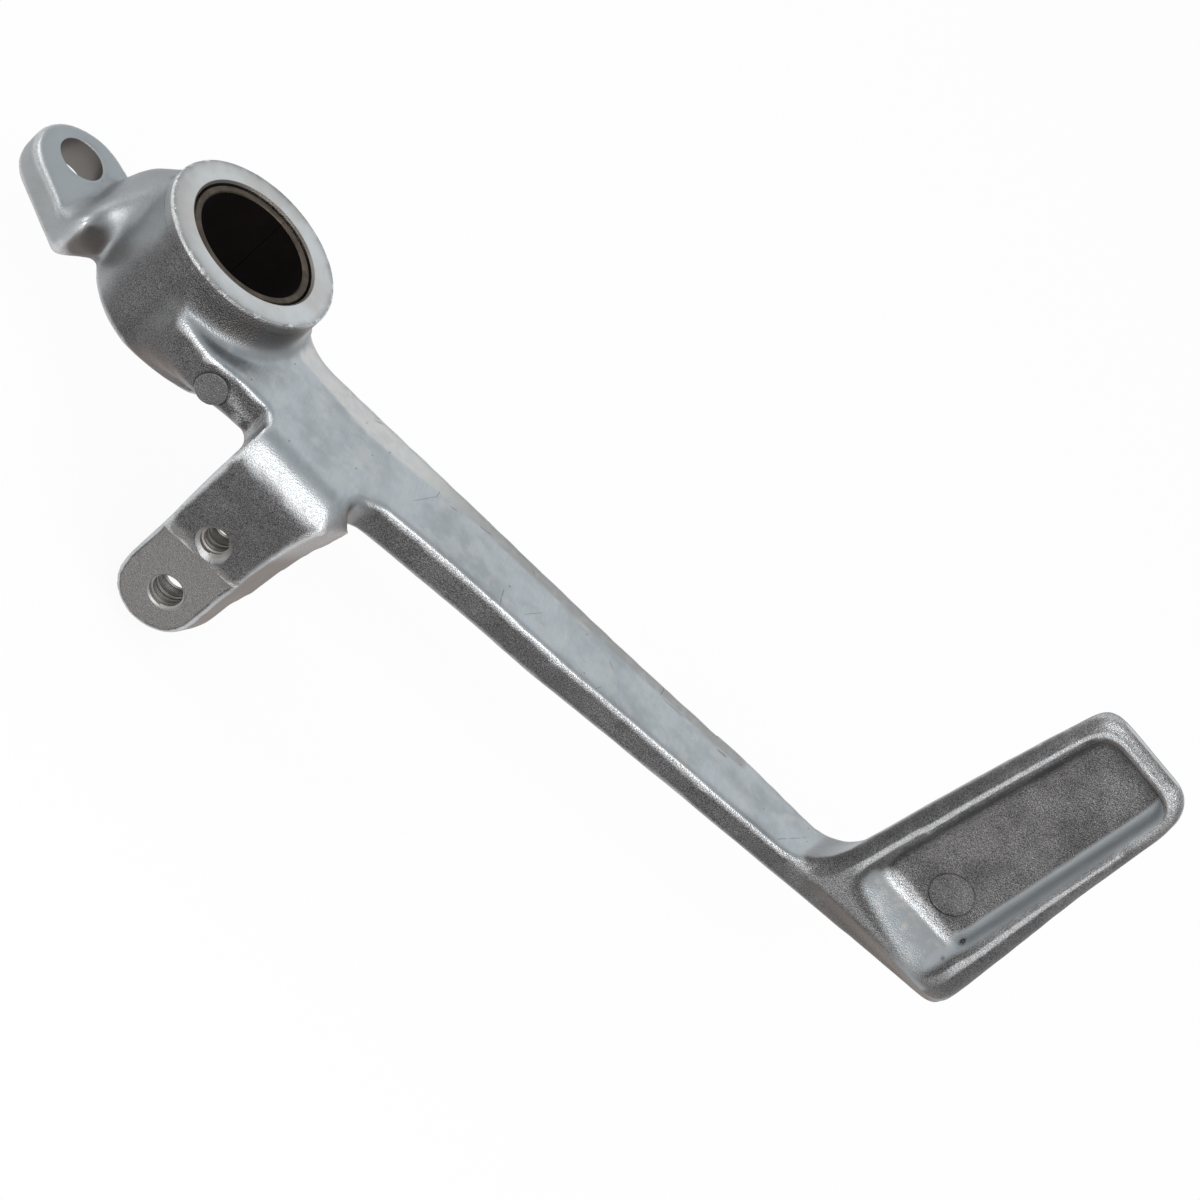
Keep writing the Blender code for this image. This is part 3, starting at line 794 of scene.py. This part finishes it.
def mark_surface(mesh):
    """Stores what the finish reads: edges for rubbed wear and painted highlights, hollows for painted
    shade, drilled walls and the arm's rear facet.
    """
    co = positions(mesh)
    x, y, z = co.T / MM
    from_tray = co - np.array(TRAY_ORIGIN)
    across = from_tray @ np.array(TRAY_ACROSS) / MM
    depth = from_tray @ np.array(TRAY_INWARD) / MM
    machined = (np.hypot(x - ROOT_MARK[0], z - ROOT_MARK[2]) < 4.2) & (y < -19.5)
    machined |= (np.hypot(across - TRAY_MARK[0], z - TRAY_MARK[1]) < 5.2) & (depth < 6.5) & (x > 120)
    machined |= (np.hypot(x, y) > 10.5) & (np.hypot(x, y) < 16.6) & (z > 18.3)
    from_lug_hole = np.hypot(x - LUG_HOLE[0], y - LUG_HOLE[1])
    machined |= (from_lug_hole < LUG_HOLE[2] + 1.6) & (z < 7)
    drilled = (from_lug_hole < LUG_HOLE[2] + 0.5) & (z < 5.9)
    along = co @ np.array(TAB_ACROSS) / MM
    for (hole_u, hole_z), wide in ((HOLE_LOW, 3.1), (HOLE_HIGH, 2.6)):
        away = np.where(y < -15, np.hypot(along - hole_u, z - hole_z), 99.0)
        machined |= away < wide + 1.6
        drilled |= away < wide + 0.12
    out = co @ np.array(TAB_OUT) / MM
    machined |= (np.abs(out - TAB_FACE + FACING_DEPTH) < 0.02) & (z < -7)
    stand = standing_out(mesh)
    stand[machined] = 0.0
    line_x, line_y = np.array(FACET_LINE).T
    fade = 0.5
    facet = (y - np.interp(x, line_x, line_y)) / fade
    facet[(z < ARM_FACE[0]) | (z > ARM_FACE[1]) | (x < 14) | (x > 118)] = 0.0
    # edge feeds the rubbed wear and painted highlights, hollow feeds the painted shade
    marks = {"edge": stand * 6, "hollow": stand * -6, "facet": facet, "drilled": drilled * 1.0}
    for name, value in marks.items():
        made = mesh.attributes.new(name, "FLOAT", "POINT")
        made.data.foreach_set("value", np.clip(value, 0, 1).astype(np.float32))


def shade(colour, factor=1.0):
    """A colour of the settings, made darker or paler."""
    return tuple(min(1.0, part * factor) for part in colour)


class CastingZones:
    """Where each kind of surface lies on the casting, as shares from 0 to 1, and the grains in it.

    Up and front say how far the surface faces +Z, and the way that the bracket's face looks.
    """

    def __init__(self, s):
        self.up = s.along(s.normal, (0, 0, 1))
        self.front = s.along(s.normal, TAB_OUT)
        self.sand = s.noise(0.2, 2.0, 0.6)
        self.cloud = s.noise(8.0, 3.0, 0.55)
        self.patches = s.noise(2.4, 3.0, 0.6, distortion=0.4)
        self.facet = s.attribute("facet")
        self.drilled = s.attribute("drilled")
        self.find_bracket(s)
        self.find_ground_faces(s)
        self.find_tray(s)
        self.find_skin(s)
        self.find_wear(s)

    def find_bracket(self, s):
        out = s.along(s.place, TAB_OUT)
        self.bracket = out.rise(18.5, 20.0) * s.x.fall(44, 46)
        self.facing = out.rise(26.4, 26.6) * self.front.rise(0.97, 0.995) * s.z.fall(-8.2, -7.0)
        # The middle of the bend gets a painted highlight
        self.bend = self.bracket * self.front.band(0.25, 0.8, 0.8, 0.97) * s.z.rise(-1, 3)

    def find_ground_faces(self, s):
        flat = (self.up + (self.patches - 0.5) * 0.06 + (self.sand - 0.5) * 0.2).rise(0.6, 0.98)
        arm = s.z.band(10.0, 12.6, 15.0, 15.6) * s.x.rise(-6, -2)
        flare = self.bracket * s.along(s.place, TAB_ACROSS).rise(38.4, 39.4)
        self.ring = self.up.rise(0.96, 0.985) * s.z.rise(21.3, 21.4)
        self.lug = self.up.rise(0.9, 0.98) * s.z.band(5.2, 5.6, 6.3, 6.6)
        self.ground = (flat * arm * (1 - flare)).at_least(self.ring).at_least(self.lug)

    def find_tray(self, s):
        depth = s.along(s.place, TRAY_INWARD) - TRAY_ORIGIN.dot(TRAY_INWARD) / MM
        across = s.along(s.place, TRAY_ACROSS) - TRAY_ORIGIN.dot(TRAY_ACROSS) / MM
        self.tray = s.x.rise(122, 132)
        self.in_tray = depth.band(0.5, 1.4, 4.6, 5.0) * s.z.rise(14.5, 16) * across.band(2, 3, 25, 26)
        ramp = self.in_tray * s.z.fall(23.2, 25.2) * depth.fall(3, 3.6)
        ramp = ramp * (self.front + (self.patches - 0.5) * 0.3).rise(0.3, 0.7)
        # Painted reflection: the tray's inner wall on its +X side gets a pale bluish colour on the faces
        # that look toward -X
        leftward = 0 - s.along(s.normal, TRAY_ACROSS)
        self.near_wall = self.in_tray * leftward.rise(0.2, 0.55) * across.rise(18, 20.5)
        self.calm_tray = ramp.at_least(self.near_wall)
        forward = 0 - s.along(s.normal, TRAY_INWARD)
        # Painted highlight along the crest of the tray's rim bead
        bead = forward.rise(0.96, 0.999) * depth.fall(0.5, 0.9) * self.tray * 0.7
        self.bead = bead * (s.z.rise(20, 25) * 0.75 + 0.25)
        # Painted highlight along the ridge where the tray's ramp drops to its floor
        self.ridge = self.in_tray * s.z.band(23.0, 24.2, 24.8, 26.2) * self.up.rise(0.05, 0.4)

    def find_skin(self, s):
        # Sandy or smooth skin goes by which way a face looks: partly the real blasted skin, partly
        # painted shade that darkens the faces looking along -Y
        turn = self.front + (self.cloud - 0.5) * 0.3
        sandy = turn.rise(0.5, 0.93) * (1 - self.bracket) + turn.rise(0.8, 0.99) * self.bracket
        sandy = sandy.at_least(self.in_tray).at_least(self.tray * turn.rise(-0.1, 0.2))
        root = s.near((12.8, -21.0, 9.0), 3.5, 6.0) * self.up.fall(0.7, 0.9)
        self.sandy = sandy.at_least(root) * (1 - self.calm_tray) * s.x.rise(-15, -12)
        # Painted shade with a brownish painted reflection on the faces that look down, and on those that
        # look +X, -Y and down
        inner_side = s.along(s.normal, (0.85, -0.35, -0.35)).rise(0.72, 0.92)
        self.underside_shade = (0 - self.up).rise(0.12, 0.6).at_least(inner_side) * (1 - self.in_tray)

    def find_wear(self, s):
        # Painted highlights on the bend, the rim bead and the ramp's ridge, broken up by the grain
        painted_highlight = (self.bend * 0.6).at_least(self.bead) * (0.4 + 0.6 * self.sand.rise(0.34, 0.56))
        self.painted_highlight = painted_highlight.at_least(self.ridge * 0.65)
        # Edges that stand out get the bright colour: partly rubbed wear, partly painted highlights
        rubbed = s.attribute("edge").rise(0.16, 0.48) * (1 - self.ground * 0.5)
        rubbed = rubbed * (0.55 + 0.45 * self.sand.rise(0.38, 0.58))
        self.rubbed = rubbed.at_least(self.painted_highlight * 0.6)
        self.long_grain = s.noise(0.3, 2.0, 0.6, s.scaled(s.place, (1.0, 0.07, 1.0)))
        flecks = s.cells(2.3).fall(0.03, 0.1) * s.noise(5.0, 1.0).rise(0.45, 0.54)
        slanting = s.scaled(s.rotated(s.place, (0.0, 0.0, 0.7)), (1.0, 0.5, 1.0))
        scratches = s.cells(14.0, "DISTANCE_TO_EDGE", slanting).fall(0.002, 0.006)
        broken = s.noise(5.0, 1.0, vector=s.scaled(s.place, (1.0, 1.0, 0.2))).rise(0.57, 0.63)
        scratches = scratches * broken * s.x.rise(26, 30)
        self.flaws = (flecks * 0.7).at_least(scratches * 0.45) * (1 - self.ring * 0.8)


def skin_colour(s, at, finish):
    """The cast skin: sandy on the foot side and smooth elsewhere, partly painted shade, with painted
    shade below and painted highlights at the bend.
    """
    speck = at.sand.rise(0.36, 0.62)
    grains = s.blend(speck, shade(finish.sand_dark), shade(finish.sand_colour))
    paler = s.blend(speck, shade(finish.sand_dark, 1.8), shade(finish.sand_colour, 1.8))
    tray_cloud = at.cloud.rise(0.34, 0.64) * 0.85 + 0.1
    grains = s.blend((at.cloud.rise(0.4, 0.7) * 0.4).at_least(at.in_tray * tray_cloud), grains, paler)
    darker = shade(finish.smooth_colour, 0.75)
    smooth = s.blend(at.cloud.rise(0.35, 0.7) * 0.5, shade(finish.smooth_colour), darker)
    smooth = s.blend(at.sand.fall(0.3, 0.5) * 0.3, smooth, shade(finish.sand_colour))
    # Painted shade, partly real skin: sandy and dark where the faces look along -Y
    skin = s.blend(at.sandy, smooth, grains)
    # Painted shade: brown-dark on the faces that look down
    skin = s.blend(at.underside_shade * 0.75, skin, shade(finish.underside_shade_colour))

    # Painted shade: a brown-dark patch on the underside facet where the lug meets the boss
    corner = s.near((-20.2, -7.2, 3.4), 4.5, 6.5)
    corner = corner * s.along(s.normal, (0.63, -0.77, 0.05)).rise(0.75, 0.92)
    skin = s.blend(corner * 0.85, skin, (0.15, 0.128, 0.115))
    # Painted shade: the bracket's side wall that looks +X goes brownish grey, broken up by the cloud
    # noise
    bracket_side = at.bracket * s.along(s.normal, TAB_ACROSS).rise(0.4, 0.85)
    skin = s.blend(bracket_side * (0.3 + at.cloud * 0.7), skin, (0.3, 0.262, 0.245))
    milled = s.blend(speck, (0.22, 0.21, 0.202), (0.29, 0.278, 0.27))
    skin = s.blend(at.facing * 0.85, skin, milled)
    # Painted highlights in the bright colour
    skin = s.blend(at.painted_highlight * 0.85, skin, shade(finish.bright_colour))
    mottle = s.blend(at.patches.rise(0.45, 0.72) * 0.8, (0.3, 0.325, 0.34), (0.44, 0.42, 0.4))
    # Painted reflection in pale bluish grey on the tray's inner wall
    mottle = s.blend(at.near_wall, mottle, (0.42, 0.45, 0.47))
    return s.blend(at.calm_tray * 0.9, skin, mottle)


def ground_colour(s, at, finish):
    """The brushed faces and the turned ring, with scuffs, flecks and scratches."""
    pale = shade(finish.ground_colour)
    brushed = s.blend(at.long_grain.rise(0.35, 0.68) * 0.25, pale, shade(pale, 0.74))
    brushed = s.blend(at.cloud.rise(0.36, 0.66) * 0.8, brushed, shade(pale, 0.7))
    warm = s.noise(4.5, 3.0, 0.6).rise(0.5, 0.68) * 0.45
    brushed = s.blend(warm, brushed, (0.5, 0.495, 0.48))
    brushed = s.blend(at.patches.rise(0.5, 0.66) * 0.25, brushed, shade(pale, 1.15))
    scuffs = at.patches.rise(0.36, 0.6) * 0.35 + 0.65
    strip = s.blend(s.x.rise(40, 62) * 0.85, shade(finish.worn_colour), (0.25, 0.24, 0.23))
    brushed = s.blend(at.facet * scuffs * 0.85, brushed, strip)
    ring = s.blend(at.cloud.rise(0.35, 0.65) * 0.7, shade(finish.ring_colour), (0.43, 0.42, 0.4))
    brushed = s.blend(at.ring, brushed, ring)
    brushed = s.blend(at.lug * 0.9, brushed, shade(pale, 0.78))
    return s.blend(at.flaws, brushed, shade(finish.sand_dark))


def ring_shade_highlight_and_nicks(s, at, finish, colour):
    """Adds painted shade in the bore's mouth, a painted highlight on the ring's outer chamfer, and nicks
    with painted glints along the ring's edge, to a colour.
    """
    radius = (s.x * s.x + s.y * s.y) ** 0.5
    # Painted shade in the mouth of the bore
    mouth = radius.fall(11.85, 12.1) * s.z.rise(18, 19)
    colour = s.blend(mouth * 0.8, colour, (0.11, 0.09, 0.075))
    bright = (0.88, 0.88, 0.88)
    # Painted highlight round the ring's outer chamfer
    rim = radius.band(15.4, 15.6, 16.4, 16.6) * s.z.rise(20.8, 21.1)
    chamfer = rim * at.up.fall(0.88, 0.96) * (0.3 + 0.7 * at.cloud.rise(0.4, 0.6))
    colour = s.blend(chamfer * 0.7, colour, bright)
    # Nicks on the ring's edge: the bright ones are painted glints, the dark ones are the nicks
    # themselves
    nicks = s.noise(0.7, 3.0, 0.7)
    nicked = rim * at.patches.rise(0.42, 0.58)
    colour = s.blend(nicked * nicks.rise(0.46, 0.6) * 0.8, colour, bright)
    return s.blend(nicked * nicks.fall(0.36, 0.46) * 0.45, colour, shade(finish.sand_dark))


def pin_marks(s, finish, colour):
    """Adds the paler discs of the ejector-pin marks and painted shade in their outline grooves to a
    colour.
    """
    for middle, radius, share in (
        (ROOT_MARK, ROOT_MARK_RADIUS, 0.7),
        (tray_point(TRAY_MARK[0], TRAY_FLOOR, TRAY_MARK[1]) / MM, TRAY_MARK_RADIUS, 0.3),
    ):
        disc = s.near(middle, radius - 0.1, radius + 0.1)
        outline = s.near(middle, radius + 0.2, radius + 0.5) - disc
        colour = s.blend(disc * share * 0.4, colour, (0.25, 0.248, 0.245))
        # Painted shade in the groove round each mark
        colour = s.blend(outline * share, colour, shade(finish.sand_dark))
    return colour


def shade_below_ring_and_blots(s, at, colour):
    """Adds painted shade on the boss below the ring and two dark blots in the tray to a colour."""
    # Painted shade on the boss's wall below the ring
    beneath = s.near((10.0, -13.0, 18.5), 4.0, 10.0) * at.up.fall(0.4, 0.8)
    colour = s.blend(beneath * 0.6, colour, (0.12, 0.105, 0.095))
    blots = s.near(tray_point(22.7, 2.6, 27.1) / MM, 0.5, 1.1)
    blots = blots.at_least(s.near(tray_point(23.0, 1.6, 22.9) / MM, 0.3, 0.9))
    return s.blend(blots * at.sand.rise(0.38, 0.5) * 0.9, colour, (0.035, 0.022, 0.016))


def cast_aluminium(finish):
    """Die-cast skin, sandy on the foot side, with ground faces, rubbed edges that are partly painted
    highlights, pores, scuffs and painted shade.
    """
    s = Shader("cast_aluminium")
    at = CastingZones(s)
    colour = s.blend(at.ground, skin_colour(s, at, finish), ground_colour(s, at, finish))
    # Rubbed edges, partly real wear and partly painted highlights
    colour = s.blend(at.rubbed * 0.72, colour, shade(finish.bright_colour))
    # Painted shade: hollows and creases darkened toward the pores' colour
    colour = s.blend(s.attribute("hollow").rise(0.15, 0.7) * 0.3, colour, shade(finish.sand_dark))
    # Drilled walls are pale metal, and the lug's hole is darker as painted shade inside it
    hole_wall = s.blend(s.x.rise(-16, -14), (0.2, 0.187, 0.176), (0.36, 0.345, 0.33))
    colour = s.blend(at.drilled, colour, hole_wall)
    colour = pin_marks(s, finish, colour)
    colour = ring_shade_highlight_and_nicks(s, at, finish, colour)
    colour = shade_below_ring_and_blots(s, at, colour)

    roughness = s.between(at.ground, 0.4, 0.34) + (at.patches - 0.5) * 0.12 - at.rubbed * 0.1
    roughness = roughness + at.underside_shade * 0.1 + at.bracket * (1 - at.ground) * 0.1
    roughness = roughness + s.x.fall(-15, -12) * 0.08 + at.near_wall * 0.25
    relief = at.sandy.at_least(at.bend * 0.5) * 0.75 + 0.25
    relief = relief * (1 - at.ground * 0.85) * (1 - at.drilled)
    relief = s.bump(at.sand + s.cells(0.27) * 0.7, 0.15, relief)
    relief = s.bump(at.long_grain + at.patches * 0.6 - at.flaws * 1.5, 0.03, at.ground * 0.7, relief)
    return s.finish(colour, roughness.at_most(0.75).at_least(0.2), 1.0, relief)


def bush_bronze(finish):
    """Dull rolled bronze with a rubbed rim, its dark lining taken down to near black as painted shade
    inside the bore.
    """
    s = Shader("bush_bronze")
    grain = s.noise(0.25, 2.0, 0.6)
    stain = s.noise(3.0, 3.0, 0.6)
    rim = s.along(s.normal, (0, 0, 1)).rise(0.3, 0.8)
    dark, bronze = finish.lining_colour, finish.bronze_colour
    # Near black: partly the lining's colour, partly painted shade inside the bore
    lining = s.blend(stain.rise(0.4, 0.7), shade(dark), shade(dark, 1.6))
    bright = s.blend(stain.rise(0.35, 0.65), shade(bronze), shade(bronze, 0.6))
    roughness = s.between(rim, 0.8, 0.34) + (grain - 0.5) * 0.15
    s.surface.inputs["Specular IOR Level"].default_value = 0.1
    return s.finish(s.blend(rim, lining, bright), roughness, rim * 0.9, s.bump(grain, 0.04, 0.5))


def finish_shading(obj, material):
    obj.data.materials.clear()
    obj.data.materials.append(material)
    obj.data.shade_smooth()
    obj.data.set_sharp_from_angle(angle=SHARP_ANGLE)


class PEDAL_OT_casting(bpy.types.Operator):
    """Builds the aluminium casting over its CAD solid"""

    bl_idname = "pedal.casting"
    bl_label = "Build the casting"

    def execute(self, context):
        scene = context.scene
        settings = scene.pedal_casting
        machining = scene.pedal_machining
        bm = bmesh.new()
        bm.from_mesh(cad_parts["pedal_casting"].data)
        bmesh.ops.remove_doubles(bm, verts=bm.verts, dist=WELD_DISTANCE)
        mesh = bpy.data.meshes.new("casting_skin")
        bm.to_mesh(mesh)
        bm.free()
        casting = add_object("casting_skin", mesh)
        remesh = casting.modifiers.new("Cast skin", "REMESH")
        remesh.mode = "VOXEL"
        remesh.voxel_size = settings.voxel
        bake_modifiers(casting)
        smooth_skin(casting.data, settings.smoothing)
        shape_faces(casting.data, settings)
        cut_ring(casting, machining)
        cut_lug_hole(casting)
        cut_bracket_face(casting, machining)
        cut_pin_marks(casting, machining)

        material = cast_aluminium(scene.pedal_finish)
        mark_surface(casting.data)
        finish_shading(casting, material)
        bpy.ops.object.select_all(action="DESELECT")
        for (u, z), radius in ((HOLE_LOW, machining.screw_radius), (HOLE_HIGH, machining.small_radius)):
            start = tab_point(u, TAB_FACE - THREAD_START, z)
            thread = make_thread(machining, material, start, radius, THREAD_LENGTH * MM)
            drilled = thread.data.attributes.new("drilled", "FLOAT", "POINT")
            drilled.data.foreach_set("value", np.ones(len(thread.data.vertices), np.float32))
            finish_shading(thread, material)
            thread.select_set(True)
        casting.select_set(True)
        context.view_layer.objects.active = casting
        bpy.ops.object.join()
        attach(casting, "root")
        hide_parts("pedal_casting")
        return {"FINISHED"}


class PEDAL_OT_bush(bpy.types.Operator):
    """Builds the split bronze bush in the boss"""

    bl_idname = "pedal.bush"
    bl_label = "Build the bush"

    def execute(self, context):
        settings = context.scene.pedal_bush
        low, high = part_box("pivot_bush")
        outer, inner = settings.outer_radius, settings.inner_radius
        lip = 0.2 * MM
        bush = turned(
            "split_bush",
            [
                (outer - lip, high.z),
                (outer, high.z - lip),
                (outer, low.z + lip),
                (outer - lip, low.z),
                (inner + lip, low.z),
                (inner, low.z + lip),
                (inner, high.z - lip),
                (inner + lip, high.z),
            ],
            160,
        )
        way = Vector((math.cos(settings.split_angle), math.sin(settings.split_angle), 0))
        side = Vector((-way.y, way.x, 0)) * (settings.split / 2)
        lean = side * 1.5
        near, far = way * 8 * MM, way * 13 * MM
        start = Vector((0, 0, low.z - 2 * MM)) - lean
        corners = [start + c for c in (near - side, near + side, far + side, far - side)]
        combine(bush, block("split", corners, Vector((0, 0, 26 * MM)) + lean * 2), "DIFFERENCE")
        finish_shading(bush, bush_bronze(context.scene.pedal_finish))
        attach(bush, "root")
        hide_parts("pivot_bush")
        return {"FINISHED"}


def area_light(name, spot, aim, size, power):
    data = bpy.data.lights.new(name, "AREA")
    data.shape = "RECTANGLE"
    data.size, data.size_y = size
    data.energy = power
    made = add_object(name, data)
    made.location = spot
    made.rotation_mode = "QUATERNION"
    made.rotation_quaternion = (aim - spot).to_track_quat("-Z", "Y")


def add_camera(scene):
    """The photograph's camera, placed by the bush's rims and the arm's edge for an assumed lens."""
    data = bpy.data.cameras.new("camera")
    data.sensor_width = 36.0
    data.lens = FOCAL_PIXELS / IMAGE_SIZE * data.sensor_width
    data.clip_start, data.clip_end = 0.01, 50.0
    camera = add_object("camera", data)
    right = Vector((0.72451, 0.181479, 0.664944))
    down = Vector((0.614838, -0.606208, -0.504466))
    ahead = Vector((0.311544, 0.774324, -0.550784))
    camera.rotation_mode = "QUATERNION"
    camera.rotation_quaternion = Matrix((right, -down, -ahead)).transposed().to_quaternion()
    camera.location = Vector((-98.015, -452.348, 333.669)) * MM
    scene.camera = camera


def floor_paper(white):
    """Lit paper that keeps the shadow, mixed with plain white where the camera or metal sees it."""
    paper = bpy.data.materials.new("pale_floor")
    paper.use_nodes = True
    nodes, links = paper.node_tree.nodes, paper.node_tree.links
    shader = nodes["Principled BSDF"]
    shader.inputs["Base Color"].default_value = (0.8, 0.8, 0.8, 1.0)
    shader.inputs["Roughness"].default_value = 0.9
    shader.inputs["Specular IOR Level"].default_value = 0.1
    glow = nodes.new("ShaderNodeEmission")
    rays = nodes.new("ShaderNodeLightPath")
    seen = rays.outputs["Is Camera Ray"]
    for name in ("Is Glossy Ray", "Is Transmission Ray"):
        either = nodes.new("ShaderNodeMath")
        either.operation = "MAXIMUM"
        links.new(seen, either.inputs[0])
        links.new(rays.outputs[name], either.inputs[1])
        seen = either.outputs[0]
    share = nodes.new("ShaderNodeMath")
    share.operation = "MULTIPLY"
    links.new(seen, share.inputs[0])
    share.inputs[1].default_value = white
    mix = nodes.new("ShaderNodeMixShader")
    links.new(share.outputs[0], mix.inputs[0])
    links.new(shader.outputs[0], mix.inputs[1])
    links.new(glow.outputs[0], mix.inputs[2])
    links.new(mix.outputs[0], nodes["Material Output"].inputs["Surface"])
    return paper


class PEDAL_OT_stage(bpy.types.Operator):
    """Adds the camera, the soft lights and the pale floor"""

    bl_idname = "pedal.stage"
    bl_label = "Set the stage"

    def execute(self, context):
        scene = context.scene
        settings = scene.pedal_stage
        scene.view_settings.view_transform = "Standard"
        add_camera(scene)

        middle = (CAD_BOX[0] + CAD_BOX[1]) / 2
        ground = CAD_BOX[0].z - settings.floor_drop
        bm = bmesh.new()
        bmesh.ops.create_grid(bm, x_segments=1, y_segments=1, size=6.0)
        floor = mesh_from("floor", bm)
        floor.data.transform(Matrix.Translation((middle.x, middle.y, ground)))
        floor.data.materials.append(floor_paper(settings.backdrop_share))

        world = bpy.data.worlds.new("soft_room")
        world.use_nodes = True
        room = world.node_tree.nodes["Background"]
        room.inputs["Color"].default_value = (0.97, 0.985, 1.0, 1.0)
        room.inputs["Strength"].default_value = settings.sky
        scene.world = world
        for name, offset, size, share in (
            ("key", (0.02, -0.7, 0.58), (0.8, 0.7), 1.0),
            ("back", (0.3, 0.8, 0.6), (1.0, 0.8), 0.16),
            ("side", (-0.7, 0.3, 0.55), (0.8, 0.5), 0.3),
        ):
            area_light(name, middle + Vector(offset), middle, size, settings.key_power * share)
        return {"FINISHED"}


class PEDAL_PT_panel(bpy.types.Panel):
    """Lists the pedal's pieces"""

    bl_label = "Brake pedal"
    bl_idname = "PEDAL_PT_panel"
    bl_space_type = "VIEW_3D"
    bl_region_type = "UI"
    bl_category = "Brake pedal"

    def draw(self, context):
        for group, operator in (
            ("pedal_casting", "pedal.casting"),
            ("pedal_machining", None),
            ("pedal_bush", "pedal.bush"),
            ("pedal_finish", None),
            ("pedal_stage", "pedal.stage"),
        ):
            settings = getattr(context.scene, group)
            box = self.layout.box()
            for name in settings.__annotations__:
                box.prop(settings, name)
            if operator:
                box.operator(operator)


GROUPS = {
    "pedal_casting": CastingSettings,
    "pedal_machining": MachiningSettings,
    "pedal_bush": BushSettings,
    "pedal_finish": FinishSettings,
    "pedal_stage": StageSettings,
}
CLASSES = (*GROUPS.values(), PEDAL_OT_casting, PEDAL_OT_bush, PEDAL_OT_stage, PEDAL_PT_panel)


def register():
    for item in CLASSES:
        bpy.utils.register_class(item)
    for name, group in GROUPS.items():
        setattr(bpy.types.Scene, name, PointerProperty(type=group))


def unregister():
    for name in GROUPS:
        delattr(bpy.types.Scene, name)
    for item in reversed(CLASSES):
        bpy.utils.unregister_class(item)


def main():
    register()
    bpy.ops.pedal.casting()
    bpy.ops.pedal.bush()
    bpy.ops.pedal.stage()


if __name__ == "__main__":
    main()
